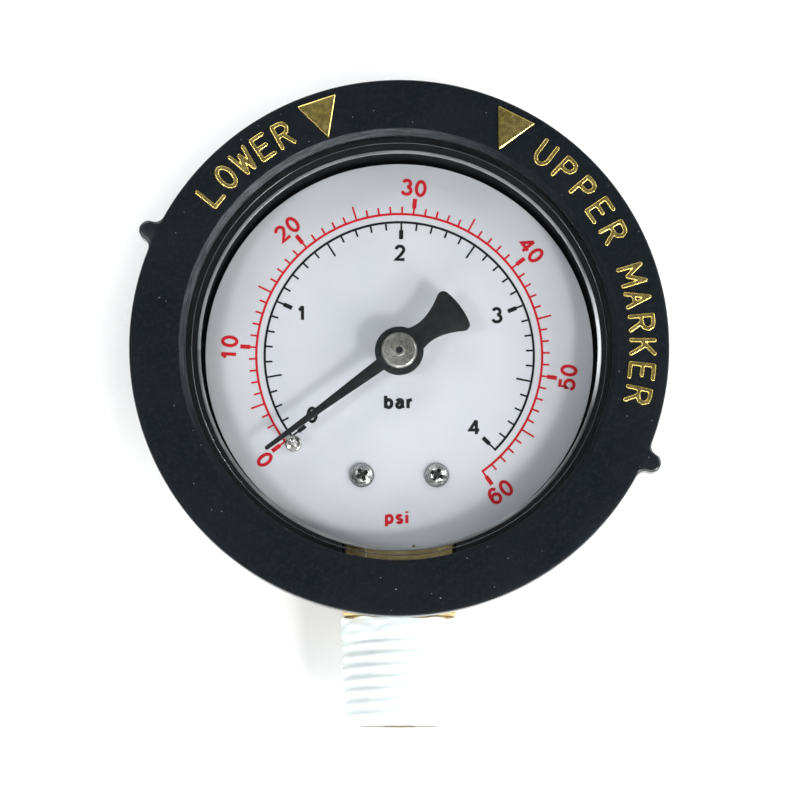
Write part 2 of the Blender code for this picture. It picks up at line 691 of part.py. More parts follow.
def make_sector_gear():
    front = SECTOR_BACK + SECTOR_THICKNESS
    sector = plate(
        "sector_gear", "brass", sector_outlines(), SECTOR_BACK, front, SECTOR_PIVOT
    )
    tail = plate(
        "sector_tail",
        None,
        [rounded([SECTOR_PIVOT, SECTOR_TAIL], EYE_RADIUS)],
        SECTOR_BACK + SECTOR_TAIL_STEP,
        front - SECTOR_TAIL_STEP,
    )
    hub = rod(
        "sector_hub",
        None,
        [(SECTOR_HUB_RADIUS, front + SECTOR_HUB_FRONT_STEP, SECTOR_BACK - SECTOR_HUB_BACK_STEP)],
        centre=SECTOR_PIVOT,
    )
    combine(sector, tail, "UNION")
    combine(sector, hub, "UNION")
    drill(sector, SECTOR_PIVOT, ARBOR_HOLE_RADIUS, SECTOR_BACK - MM, front + MM)
    drill(sector, SECTOR_TAIL, ARBOR_HOLE_RADIUS, SECTOR_BACK - MM, front + MM)


def make_sector_arbor():
    sections = [(ARBOR_RADIUS, SECTOR_ARBOR_FRONT, ARBOR_BACK)]
    rod("sector_arbor", "steel", sections, centre=SECTOR_PIVOT, pivot=SECTOR_PIVOT)


def movement_outline():
    corners = [PILLAR_PLACES["low"], SECTOR_PIVOT, PILLAR_PLACES["right"], PILLAR_PLACES["left"]]
    return rounded(corners, PLATE_CORNER_RADIUS)


def hairspring_stud_place():
    return polar(STUD_DISTANCE, HAIRSPRING_END_ANGLE)


def make_movement_plates():
    arbors = [circle(ARBOR_HOLE_RADIUS), circle(ARBOR_HOLE_RADIUS, SECTOR_PIVOT)]
    screw_hole = SMALL_SCREW_RADIUS + GAP
    plate_screws = [circle(screw_hole, place) for place in PILLAR_PLACES.values()]
    stud = circle(ARBOR_HOLE_RADIUS, hairspring_stud_place())
    plate(
        "movement_front_plate",
        "brass",
        [movement_outline(), *arbors, *plate_screws, stud],
        FRONT_PLATE_BACK,
        FRONT_PLATE_BACK + PLATE_THICKNESS,
    )
    foot_screws = [circle(screw_hole, place) for place in MOVEMENT_SCREW_PLACES.values()]
    plate(
        "movement_back_plate",
        "brass",
        [movement_outline(), *arbors, *foot_screws],
        BACK_PLATE_BACK,
        BACK_PLATE_BACK + PLATE_THICKNESS,
    )


def make_pillars():
    back = BACK_PLATE_BACK + PLATE_THICKNESS + GAP
    front = FRONT_PLATE_BACK - GAP
    head_back = FRONT_PLATE_BACK + PLATE_THICKNESS + GAP
    screw_back = head_back - PLATE_THICKNESS - PLATE_SCREW_DEPTH
    for side, place in PILLAR_PLACES.items():
        bore = SMALL_SCREW_RADIUS + GAP
        sleeve(f"movement_pillar_{side}", "brass", bore, PILLAR_RADIUS, back, front, centre=place)
        sections = [
            (SMALL_SCREW_HEAD_RADIUS, head_back + SMALL_SCREW_HEAD_HEIGHT, head_back),
            (SMALL_SCREW_RADIUS, head_back, screw_back),
        ]
        rod(f"plate_screw_{side}", "steel", sections, centre=place)


def make_movement_screws():
    head_back = BACK_PLATE_BACK + PLATE_THICKNESS + GAP
    for side, place in MOVEMENT_SCREW_PLACES.items():
        sections = [
            (SMALL_SCREW_HEAD_RADIUS, head_back + SMALL_SCREW_HEAD_HEIGHT, head_back),
            (SMALL_SCREW_RADIUS, head_back, FOOT_BACK + GAP),
        ]
        rod(f"movement_screw_{side}", "steel", sections, centre=place)


def make_hairspring():
    steps_per_turn = 20
    count = HAIRSPRING_TURNS * steps_per_turn
    growth = (HAIRSPRING_OUTER_RADIUS - HAIRSPRING_INNER_RADIUS) / count
    curve = bpy.data.curves.new("hairspring_path", "CURVE")
    curve.dimensions = "3D"
    curve.bevel_depth = HAIRSPRING_WIRE_RADIUS
    curve.bevel_resolution = 0
    curve.use_fill_caps = True
    spline = curve.splines.new("POLY")
    spline.points.add(count)
    for i, point in enumerate(spline.points):
        turn = 360 * (i - count) / steps_per_turn
        place = polar(HAIRSPRING_INNER_RADIUS + growth * i, HAIRSPRING_END_ANGLE + turn)
        point.co = (*place, HAIRSPRING_HEIGHT, 1)
    path = bpy.data.objects.new("hairspring_path", curve)
    CUTTERS.objects.link(path)
    bpy.context.view_layer.update()
    graph = bpy.context.evaluated_depsgraph_get()
    mesh = bpy.data.meshes.new_from_object(path.evaluated_get(graph))
    bpy.data.objects.remove(path)
    bm = bmesh.new()
    bm.from_mesh(mesh)
    bmesh.ops.remove_doubles(bm, verts=bm.verts, dist=0.000001)
    bmesh.ops.recalc_face_normals(bm, faces=bm.faces)
    bm.to_mesh(mesh)
    bm.free()
    add_object("hairspring", mesh, "bronze")


def make_hairspring_fittings():
    low = HAIRSPRING_HEIGHT - COLLET_HALF_HEIGHT
    high = HAIRSPRING_HEIGHT + COLLET_HALF_HEIGHT
    sleeve("hairspring_collet", "brass", ARBOR_HOLE_RADIUS, COLLET_OUTER_RADIUS, low, high)
    sections = [(ARBOR_RADIUS, FRONT_PLATE_BACK + PLATE_THICKNESS, low)]
    rod("hairspring_stud", "brass", sections, centre=hairspring_stud_place())


# ---------------------------------------------------------------- bourdon tube and link


def widened(section, extra):
    return (section[0] + 2 * extra, section[1] + 2 * extra)


def make_bourdon_tube():
    steps = 33
    tube = arc_bar(
        "bourdon_tube", "bronze", TUBE_SECTION, TUBE_START_ANGLE, TUBE_END_ANGLE, steps
    )
    bore = arc_bar(
        "tube_bore",
        None,
        widened(TUBE_SECTION, -TUBE_WALL),
        TUBE_START_ANGLE - TUBE_BORE_OVERRUN,
        TUBE_END_ANGLE + TUBE_BORE_OVERRUN,
        steps + 2,
    )
    combine(tube, bore, "DIFFERENCE")


def make_tube_tip():
    block = widened(TUBE_SECTION, GAP + TIP_BLOCK_WALL)
    pocket = widened(TUBE_SECTION, GAP)
    tip = arc_bar("tube_tip", "brass", block, *TIP_BLOCK_ANGLES, 3, TIP_FLEX_CENTRE)
    socket = arc_bar("tube_tip_pocket", None, pocket, *TIP_POCKET_ANGLES, 4)
    lug = plate(
        "tube_tip_lug",
        None,
        [rounded([TIP_PIVOT, polar(TUBE_RADIUS, TIP_LUG_ANGLE)], EYE_RADIUS)],
        SECTOR_BACK,
        SECTOR_BACK + SECTOR_THICKNESS,
    )
    combine(tip, lug, "UNION")
    combine(tip, socket, "DIFFERENCE")
    drill(
        tip, TIP_PIVOT, ARBOR_HOLE_RADIUS, SECTOR_BACK - MM, SECTOR_BACK + SECTOR_THICKNESS + MM
    )


def make_link():
    holes = [circle(ARBOR_HOLE_RADIUS, place) for place in (TIP_PIVOT, SECTOR_TAIL)]
    outline = rounded([SECTOR_TAIL, TIP_PIVOT], EYE_RADIUS)
    plate("link", "brass", [outline] + holes, LINK_BACK, LINK_BACK + LINK_THICKNESS, TIP_PIVOT)


def make_link_pins():
    sections = [
        (ARBOR_RADIUS, LINK_PIN_FRONT, LINK_PIN_BACK + LINK_PIN_HEAD_HEIGHT),
        (LINK_PIN_HEAD_RADIUS, LINK_PIN_BACK + LINK_PIN_HEAD_HEIGHT, LINK_PIN_BACK),
    ]
    rod("link_pin_tip", "steel", sections, centre=TIP_PIVOT, pivot=TIP_FLEX_CENTRE)
    rod("link_pin_sector", "steel", sections, centre=SECTOR_TAIL, pivot=SECTOR_PIVOT)


# ---------------------------------------------------------------- socket, tape and case screws


def stem_radius(y):
    return STEM_TOP_RADIUS - (BLOCK_BOTTOM - y) * STEM_TAPER


def upright(obj):
    """Stands a turned piece on the stem's axis, which runs down the front frame's y axis."""
    obj.rotation_euler.x = -math.pi / 2
    obj.location.z = STEM_AXIS_HEIGHT
    return obj


def bevelled_block(name, finish, half_width, bottom, top):
    low = (-half_width, bottom, BLOCK_BACK)
    block = box(name, finish, low, (half_width, top, BLOCK_FRONT))
    bevel = block.modifiers.new("edges", "BEVEL")
    bevel.width = BLOCK_EDGE
    bevel.segments = 1
    return block


def make_socket():
    """The upper block passes through the case's wall, and the wider block below it takes a wrench."""
    inside = BLOCK_BOTTOM + MM
    socket = bevelled_block("socket", "brass", BLOCK_HALF_WIDTH, inside, BLOCK_TOP)
    flats = bevelled_block("socket_flats", None, FLATS_HALF_WIDTH, BLOCK_BOTTOM, FLATS_TOP)
    foot = box(
        "socket_foot",
        None,
        (-BLOCK_HALF_WIDTH + BLOCK_EDGE, BLOCK_TOP - MM, FOOT_BACK),
        (BLOCK_HALF_WIDTH - BLOCK_EDGE, FOOT_TOP, FOOT_FRONT),
    )
    end_radius = stem_radius(STEM_END)
    stem_profile = [
        (0, BLOCK_BOTTOM + MM),
        (STEM_TOP_RADIUS - BLOCK_EDGE, BLOCK_BOTTOM + MM),
        (STEM_TOP_RADIUS - BLOCK_EDGE, BLOCK_BOTTOM),
        (end_radius, STEM_END + STEM_CHAMFER),
        (end_radius - STEM_CHAMFER, STEM_END),
        (0, STEM_END),
    ]
    stem = upright(turned("socket_stem", None, stem_profile, closed=False, steps=40))
    bore = rod(
        "socket_bore", None, [(PRESSURE_BORE_RADIUS, PRESSURE_BORE_TOP, STEM_END - MM)]
    )
    cut_tube_pocket(socket)
    combine(socket, flats, "UNION")
    combine(socket, foot, "UNION")
    combine(socket, stem, "UNION")
    combine(socket, upright(bore), "DIFFERENCE")
    for place in dial_screw_places().values():
        depth = BLOCK_FRONT - DIAL_SCREW_DEPTH - GAP
        drill(socket, place, DIAL_SCREW_RADIUS + GAP, depth, BLOCK_FRONT + MM, 12)
    for x in (-CASE_SCREW_X, CASE_SCREW_X):
        place = (x, CASE_SCREW_Y)
        drill(socket, place, CASE_SCREW_RADIUS + GAP, 0, CASE_SCREW_FRONT + GAP, 12)
    for place in MOVEMENT_SCREW_PLACES.values():
        drill(socket, place, SMALL_SCREW_RADIUS + GAP, 0, FOOT_FRONT + MM, 12)


def cut_tube_pocket(socket):
    """The slot that takes the fixed end of the tube, and the bore that feeds it from the stem."""
    section = widened(TUBE_SECTION, GAP)
    pocket = arc_bar(
        "socket_pocket", None, section, TUBE_POCKET_START_ANGLE, TUBE_POCKET_END_ANGLE, 6
    )
    combine(socket, pocket, "DIFFERENCE")
    feed = rod("socket_feed", None, [(CROSS_BORE_RADIUS, 0, -CROSS_BORE_LENGTH)], 12)
    feed.rotation_euler.x = -math.pi / 2
    feed.rotation_euler.z = math.radians(CROSS_BORE_ANGLE)
    feed.location = (*polar(TUBE_RADIUS, TUBE_END_ANGLE), STEM_AXIS_HEIGHT)
    combine(socket, feed, "DIFFERENCE")


def make_thread_tape():
    """The tape wraps the whole thread and lies over the chamfer at the stem's end."""
    chamfer_top = STEM_END + STEM_CHAMFER
    bottom = STEM_END + TAPE_END_CLEARANCE
    inner = [
        (stem_radius(STEM_END) - STEM_CHAMFER + TAPE_CLEARANCE + TAPE_END_CLEARANCE, bottom),
        (stem_radius(STEM_END) + TAPE_CLEARANCE, chamfer_top),
        (stem_radius(TAPE_TOP) + TAPE_CLEARANCE, TAPE_TOP),
    ]
    outer = [(radius + TAPE_THICKNESS, y) for radius, y in reversed(inner)]
    upright(turned("thread_tape", "white_tape", outer + inner, closed=True, steps=40))


def make_case_screws():
    head_back, head_front = CASE_SCREW_HEAD
    sections = [
        (CASE_SCREW_RADIUS, CASE_SCREW_FRONT, head_front),
        (CASE_SCREW_HEAD_RADIUS, head_front, head_back),
    ]
    for side, x in (("left", -CASE_SCREW_X), ("right", CASE_SCREW_X)):
        rod(f"case_screw_{side}", "steel", sections, centre=(x, CASE_SCREW_Y))


make_case()
make_window()
make_bezel_ring()
make_dial()
make_dial_screws()
make_stop_pin()
make_pointer()
make_pointer_hub()
make_pinion_arbor()
make_sector_gear()
make_sector_arbor()
make_movement_plates()
make_pillars()
make_movement_screws()
make_hairspring()
make_hairspring_fittings()
make_bourdon_tube()
make_tube_tip()
make_link()
make_link_pins()
make_socket()
make_thread_tape()
make_case_screws()
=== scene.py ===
import json
import math

import bmesh
import bpy
from mathutils import Matrix, Vector, noise


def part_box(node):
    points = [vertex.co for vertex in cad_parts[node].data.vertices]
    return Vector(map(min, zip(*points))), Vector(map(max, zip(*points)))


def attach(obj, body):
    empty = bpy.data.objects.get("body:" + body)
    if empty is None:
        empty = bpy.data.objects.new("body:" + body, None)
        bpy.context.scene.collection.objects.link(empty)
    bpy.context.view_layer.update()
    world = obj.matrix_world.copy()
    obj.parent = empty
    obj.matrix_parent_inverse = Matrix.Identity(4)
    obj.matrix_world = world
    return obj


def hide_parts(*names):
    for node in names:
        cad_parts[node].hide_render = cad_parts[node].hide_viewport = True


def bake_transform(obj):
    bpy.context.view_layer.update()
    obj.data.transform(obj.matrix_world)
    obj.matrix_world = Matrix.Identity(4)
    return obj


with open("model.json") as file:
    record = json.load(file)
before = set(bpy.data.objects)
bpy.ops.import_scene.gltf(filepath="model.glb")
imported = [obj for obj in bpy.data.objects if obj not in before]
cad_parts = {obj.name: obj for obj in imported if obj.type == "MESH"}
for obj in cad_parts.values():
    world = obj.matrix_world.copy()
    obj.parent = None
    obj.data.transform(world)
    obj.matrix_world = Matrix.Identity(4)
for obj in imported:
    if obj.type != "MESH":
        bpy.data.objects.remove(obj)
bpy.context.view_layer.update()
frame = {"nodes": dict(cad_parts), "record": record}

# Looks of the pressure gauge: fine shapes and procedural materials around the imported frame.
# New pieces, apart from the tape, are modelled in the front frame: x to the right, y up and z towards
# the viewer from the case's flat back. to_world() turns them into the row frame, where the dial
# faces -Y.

MM = 0.001
PLAY = 0.3 * MM
ROUND_STEPS = 240
SMALL_ROUND_STEPS = 64
FILLET_STEPS = 4


# ---------------------------------------------------------------- sizes, read from the frame


def extent(node):
    """(radius along x, back height, front height) of a node in the front frame."""
    low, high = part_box(node)
    return max(abs(low.x), abs(high.x)), -high.y, -low.y


def centre_of(node):
    """(x, y) of a node's middle in the front frame."""
    low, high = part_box(node)
    return ((low.x + high.x) / 2, (low.z + high.z) / 2)


def half_width(node):
    """Half a node's width."""
    low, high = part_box(node)
    return (high.x - low.x) / 2


RING_RADIUS, RING_BACK, RING_FACE = extent("bezel_ring")
WINDOW_RADIUS, SPIGOT_BACK, WINDOW_FRONT = extent("window")
CASE_RADIUS, CASE_BACK, CASE_RIM = extent("case")
DIAL_RADIUS, DIAL_BACK, DIAL_FRONT = extent("dial_plate")
_, POINTER_BACK, POINTER_FRONT = extent("pointer")
HUB_RADIUS, HUB_BACK, HUB_FRONT = extent("pointer_hub")
TAPE_LOW, TAPE_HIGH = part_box("thread_tape")

# Case
CASE_BORE = 23.7 * MM
CASE_BODY_RADIUS = CASE_RADIUS - 0.7 * MM
CASE_BAND_BACK = 18.5 * MM
CASE_FLOOR = 2.0 * MM
BACK_GROOVE_INNER = 20.4 * MM
BACK_GROOVE_OUTER = 21.6 * MM
BACK_GROOVE_DEPTH = 0.3 * MM
CASE_SCREW_RECESS = 1.25 * MM
SOCKET_HALF_WIDTH = 6.55 * MM

# Window: the angle is where the painted glint on its edge sits, counter-clockwise from +X
WINDOW_RAISED_RADIUS = 24.45 * MM
WINDOW_STEP_RADIUS = 24.75 * MM
WINDOW_STEP_DEPTH = 0.3 * MM
SPIGOT_WALL = 0.55 * MM
GLINT_ANGLE = 2

# Marker ring: the words are (text, angle of the first letter, angle of the last letter)
FLANGE_THICKNESS = 3.0 * MM
COLLAR_RADIUS = WINDOW_RADIUS + 2.3 * MM
RING_BORE = WINDOW_RADIUS + PLAY
SNAP_BEAD_RADIUS = RING_BORE - 0.7 * MM
SNAP_BEAD_LENGTH = 1.0 * MM
FACE_INNER_RADIUS = 25.8 * MM
LIP_RADIUS = 25.15 * MM
LIP_CHAMFER_DEPTH = 0.65 * MM
# The way the painted highlight on the ring's inner chamfer faces, counter-clockwise from +X
CHAMFER_HIGHLIGHT_ANGLE = 130
TAB_ANGLES = (155, -25)
TAB_BULB_RADIUS = 1.13 * MM
TAB_BULB_DISTANCE = 32.6 * MM
TAB_FILLET_RADIUS = 1.1 * MM
ARROW_ANGLES = (108.6, 63.2)
ARROW_BASE_RADIUS = 30.8 * MM
ARROW_APEX_RADIUS = 26.0 * MM
ARROW_HALF_WIDTH = 2.45 * MM
RING_WORDS = {
    "low": ("LOWER", 141.1, 118.7),
    "high": ("UPPER", 53.0, 28.0),
    "mark": ("MARKER", 17.0, -11.8),
}
LETTER_RADIUS = 28.6 * MM
LETTER_HEIGHT = 2.75 * MM
LETTER_WIDTH = 1.6 * MM
LETTER_STROKE_RADIUS = 0.29 * MM
WIDE_LETTER = 1.25

# Dial and its scales: angles are counter-clockwise from +X, and strokes are shares of the height
DIAL_NOTCH_ANGLE = -85.7
DIAL_NOTCH_HALF_ANGLE = 1.2
DIAL_NOTCH_DEPTH = 0.5 * MM
PSI_ARC_RADIUS = 17.1 * MM
PSI_TEN_ANGLE = 176.75
PSI_STEP = 4.625
BAR_ARC_RADIUS = 16.1 * MM
BAR_ONE_ANGLE = 156.0
BAR_TENTH_STEP = 6.69
ZERO_ANGLE = 217.2
PSI_NUMBER_RADIUS = 20.35 * MM
PSI_NUMBER_HEIGHT = 2.1 * MM
PSI_WORD_HEIGHT = 1.62 * MM
BAR_NUMBER_HEIGHT = 2.0 * MM
BAR_WORD_HEIGHT = 1.75 * MM
INK_THICKNESS = 0.03 * MM
THIN_LINE = 0.22 * MM
ARC_LINE = 0.28 * MM
THICK_LINE = 0.5 * MM
DIGIT_STROKE = 0.19
WORD_STROKE = 0.235
INK_LAYER = 0.003 * MM

# Pointer
POINTER_ANGLE = 216.4
POINTER_LENGTH = 19.7 * MM
POINTER_DISC_RADIUS = 2.9 * MM
FAN_RADIUS = 9.0 * MM
FAN_HALF_ANGLE = 19

# Screws
SHANK_RADIUS = 0.8 * MM

# Threaded stem and its tape
STEM_TOP = -31.0 * MM
STEM_TOP_RADIUS = 6.75 * MM
STEM_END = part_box("socket")[0].z
STEM_AXIS_Y = (TAPE_LOW.y + TAPE_HIGH.y) / 2
STEM_CHAMFER = 1.2 * MM
THREAD_PITCH = 25.4 / 18 * MM
THREAD_TAPER = 1 / 32
RIDGE_HEIGHT = 0.22 * MM
TAPE_THICKNESS = 0.1 * MM

# Pressure tube
TUBE_HALF_DEPTH = 1.1 * MM
TUBE_WALL = 0.4 * MM
TUBE_START_ANGLE = -9
TUBE_SWEEP = 264


# ---------------------------------------------------------------- shape helpers


def polar(radius, degrees, centre=(0, 0)):
    angle = math.radians(degrees)
    return (centre[0] + radius * math.cos(angle), centre[1] + radius * math.sin(angle))


def arc(centre, radius, start, end, count):
    span = end - start
    return [polar(radius, start + span * i / (count - 1), centre) for i in range(count)]


def filleted(corners, closed):
    """Points of a polyline whose corners, each (x, y, radius), are rounded."""
    points = []
    for i, (x, y, radius) in enumerate(corners):
        here = Vector((x, y))
        if radius == 0 or (not closed and i in (0, len(corners) - 1)):
            points.append((x, y))
            continue
        before = (Vector(corners[i - 1][:2]) - here).normalized()
        after = (Vector(corners[(i + 1) % len(corners)][:2]) - here).normalized()
        half = before.angle(after) / 2
        centre = here + (before + after).normalized() * radius / math.sin(half)
        start = here + before * radius / math.tan(half) - centre
        end = here + after * radius / math.tan(half) - centre
        first = math.atan2(start.y, start.x)
        sweep = math.remainder(math.atan2(end.y, end.x) - first, math.tau)
        for step in range(FILLET_STEPS + 1):
            angle = math.degrees(first + sweep * step / FILLET_STEPS)
            points.append(polar(radius, angle, centre))
    return points


def inset(outline, distance):
    """A closed counter-clockwise outline moved inwards along its normals."""
    moved = []
    for i, point in enumerate(outline):
        along = Vector(outline[(i + 1) % len(outline)]) - Vector(outline[i - 1])
        normal = Vector((-along.y, along.x)).normalized()
        moved.append((point[0] + normal.x * distance, point[1] + normal.y * distance))
    return moved


def to_world(mesh):
    mesh.transform(Matrix.Rotation(math.pi / 2, 4, "X"))


def set_smooth(mesh, sharp):
    """Smooth shading, with the edges over an angle in degrees left sharp."""
    mesh.shade_smooth()
    mesh.set_sharp_from_angle(angle=math.radians(sharp))


def finish_mesh(bm, name, front_frame=True, sharp=35):
    """The mesh of a bmesh, which is freed, with its normals outwards."""
    bmesh.ops.recalc_face_normals(bm, faces=bm.faces)
    mesh = bpy.data.meshes.new(name)
    bm.to_mesh(mesh)
    bm.free()
    if front_frame:
        to_world(mesh)
    set_smooth(mesh, sharp)
    return mesh


def add_piece(name, mesh, finish, body, replaced=None):
    """A piece with one finish, carried by a body where one is given, that may stand for a CAD node,
    which is then hidden.
    """
    obj = bpy.data.objects.new(name, mesh)
    bpy.context.scene.collection.objects.link(obj)
    mesh.materials.clear()
    mesh.materials.append(MATERIALS[finish])
    if body:
        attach(obj, body)
    if replaced:
        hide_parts(replaced)
    return obj


def loft(bm, loops, ring):
    """Skins loops of equal length. A ring joins the last to the first, and a solid gets two caps."""
    rows = [[bm.verts.new(point) for point in loop] for loop in loops]
    pairs = list(zip(rows, rows[1:]))
    if ring:
        pairs.append((rows[-1], rows[0]))
    else:
        bm.faces.new(rows[0])
        bm.faces.new(rows[-1])
    for lower, upper in pairs:
        for i in range(len(lower)):
            j = (i + 1) % len(lower)
            bm.faces.new((lower[i], lower[j], upper[j], upper[i]))


def loft_mesh(name, loops, ring, **options):
    bm = bmesh.new()
    loft(bm, loops, ring)
    return finish_mesh(bm, name, **options)


def turn(bm, profile, ring, steps=SMALL_ROUND_STEPS, centre=(0, 0)):
    """Turns (radius, height) points about the axis at centre."""
    loops = []
    for radius, height in profile:
        circle = arc(centre, radius, 0, 360 - 360 / steps, steps)
        loops.append([(x, y, height) for x, y in circle])
    loft(bm, loops, ring)


def turned_mesh(name, corners, closed, steps=SMALL_ROUND_STEPS, centre=(0, 0), sharp=35):
    """A turned solid, or a ring where its section is closed, from corners as for filleted()."""
    bm = bmesh.new()
    turn(bm, filleted(corners, closed), closed, steps, centre)
    return finish_mesh(bm, name, sharp=sharp)


def raised_mesh(name, outline, base, height, edge, sharp=35):
    """A flat raised shape with a bevelled front edge."""
    top = base + height
    levels = [(0, base), (0, top - edge), (edge * 0.3, top - edge * 0.3), (edge, top)]
    loops = []
    for distance, level in levels:
        loops.append([(x, y, level) for x, y in inset(outline, distance)])
    return loft_mesh(name, loops, False, sharp=sharp)


def modified(mesh, *modifiers):
    """The mesh after modifiers, each (type, settings)."""
    obj = bpy.data.objects.new("modified", mesh)
    bpy.context.scene.collection.objects.link(obj)
    for kind, settings in modifiers:
        modifier = obj.modifiers.new(kind, kind)
        for key, value in settings.items():
            setattr(modifier, key, value)
    bpy.context.view_layer.update()
    graph = bpy.context.evaluated_depsgraph_get()
    result = bpy.data.meshes.new_from_object(obj.evaluated_get(graph))
    bpy.data.objects.remove(obj)
    return result


def drill(holes, back, front, steps=48):
    """Cylinders that cut round holes, each (centre, radius)."""
    bm = bmesh.new()
    for centre, radius in holes:
        turn(bm, [(radius, front), (radius, back)], False, steps, centre)
    return finish_mesh(bm, "drill")


def cut_away(mesh, cutter_mesh, sharp=30):
    """The mesh without the space of another mesh, both in the same frame."""
    cutter = bpy.data.objects.new("cutter", cutter_mesh)
    bpy.context.scene.collection.objects.link(cutter)
    result = modified(mesh, ("BOOLEAN", {"operation": "DIFFERENCE", "object": cutter}))
    bpy.data.objects.remove(cutter)
    set_smooth(result, sharp)
    return result


def voxel_union(mesh, voxel):
    """One closed skin round overlapping shapes."""
    remesh = ("REMESH", {"mode": "VOXEL", "voxel_size": voxel})
    return modified(mesh, remesh, ("SMOOTH", {"iterations": 2}))


def box_mesh(low, high):
    bm = bmesh.new()
    bmesh.ops.create_cube(bm, size=1)
    for vertex in bm.verts:
        for i in range(3):
            vertex.co[i] = (low[i] + high[i]) / 2 + (high[i] - low[i]) * vertex.co[i]
    return finish_mesh(bm, "box")


# ---------------------------------------------------------------- material helpers


class Surface:
    """A material under construction. add() makes a node and gives back one of its outputs."""

    def __init__(self, name):
        self.material = bpy.data.materials.new(name)
        self.material.use_nodes = True
        self.tree = self.material.node_tree
        self.shader = self.tree.nodes["Principled BSDF"]
        coordinates = self.add("TexCoord", output="Object")
        self.place = self.vector("MULTIPLY", coordinates, (1 / MM, 1 / MM, 1 / MM))

    def put(self, socket, value):
        if isinstance(value, bpy.types.NodeSocket):
            self.tree.links.new(value, socket)
        elif socket.type == "RGBA":
            socket.default_value = (*value, 1)
        else:
            socket.default_value = value

    def add(self, kind, output=0, **inputs):
        node = self.tree.nodes.new("ShaderNode" + kind)
        for key, value in inputs.items():
            self.put(node.inputs[key.replace("_", " ")], value)
        return node.outputs[output]

    def operate(self, kind, operation, values, output=0):
        node = self.tree.nodes.new("ShaderNode" + kind)
        node.operation = operation
        for socket, value in zip(node.inputs, values):
            self.put(socket, value)
        return node.outputs[output]

    def math(self, operation, *values):
        return self.operate("Math", operation, values)

    def times(self, first, second):
        return self.math("MULTIPLY", first, second)

    def vector(self, operation, *values):
        return self.operate("VectorMath", operation, values)

    def mix(self, factor, first, second):
        node = self.tree.nodes.new("ShaderNodeMix")
        node.data_type = "RGBA"
        self.put(node.inputs[0], factor)
        self.put(node.inputs[6], first)
        self.put(node.inputs[7], second)
        return node.outputs[2]

    def noise(self, scale, detail=3, vector=None, roughness=0.5):
        vector = self.place if vector is None else vector
        return self.add("TexNoise", Vector=vector, Scale=scale, Detail=detail, Roughness=roughness)

    def ramp(self, value, low, high, to_low=0.0, to_high=1.0):
        return self.add("MapRange", Value=value, From_Min=low, From_Max=high, To_Min=to_low,
                        To_Max=to_high)

    def clouded(self, scale, detail, dark, light, low=0.35, high=0.65):
        """A colour that drifts between two."""
        return self.mix(self.ramp(self.noise(scale, detail), low, high), dark, light)

    def uneven(self, scale, detail, smooth, rough):
        """A roughness that drifts between two."""
        return self.ramp(self.noise(scale, detail), 0.3, 0.7, smooth, rough)

    def along(self, direction):
        """How far the place in millimetres lies along a direction."""
        return self.operate("VectorMath", "DOT_PRODUCT", (self.place, direction), output=1)

    def split(self, vector):
        parts = self.tree.nodes.new("ShaderNodeSeparateXYZ")
        self.put(parts.inputs[0], vector)
        return parts.outputs

    def stretched(self, scales):
        """The place in millimetres, scaled by axis."""
        return self.vector("MULTIPLY", self.place, scales)

    def polar_place(self, centre=(0, 0), along=0.35):
        """The place as (radius, turn, height) about an axis parallel to Y, then radius and height."""
        shifted = self.vector("ADD", self.place, (-centre[0] / MM, 0, -centre[1] / MM))
        x, y, z = self.split(shifted)
        radius = self.math("SQRT", self.math("ADD", self.times(x, x), self.times(z, z)))
        angle = self.times(self.math("ARCTAN2", z, x), along)
        return self.add("CombineXYZ", X=radius, Y=angle, Z=y), radius, y

    def bump(self, height, distance, strength=1.0, normal=None):
        inputs = {"Height": height, "Distance": distance, "Strength": strength}
        if normal is not None:
            inputs["Normal"] = normal
        return self.add("Bump", **inputs)

    def specks(self, per_mm, size, seed=0.0):
        """1 inside small sparse spots, 0 elsewhere."""
        shifted = self.vector("ADD", self.place, (seed, seed * 1.7, seed * 0.6))
        cells = self.tree.nodes.new("ShaderNodeTexVoronoi")
        self.put(cells.inputs["Vector"], shifted)
        self.put(cells.inputs["Scale"], per_mm)
        self.put(cells.inputs["Randomness"], 1.0)
        close = self.math("LESS_THAN", cells.outputs["Distance"], size)
        shade = self.tree.nodes.new("ShaderNodeSeparateColor")
        self.put(shade.inputs[0], cells.outputs["Color"])
        chosen = self.math("GREATER_THAN", shade.outputs[0], 0.55)
        return self.times(close, chosen)

    def speckled(self, base, specks, share, colour):
        """A colour with a share of another in its specks, given as (per_mm, size, seed)."""
        return self.mix(self.times(self.specks(*specks), share), base, colour)

    def set(self, **inputs):
        for key, value in inputs.items():
            self.put(self.shader.inputs[key.replace("_", " ")], value)
        return self.material

    def blend_output(self, factor, first, second):
        """The surface becomes a blend of two shaders."""
        mixed = self.tree.nodes.new("ShaderNodeMixShader")
        for socket, value in zip(mixed.inputs, (factor, first, second)):
            self.put(socket, value)
        output = self.tree.nodes["Material Output"]
        self.tree.links.new(mixed.outputs[0], output.inputs["Surface"])


# ---------------------------------------------------------------- materials


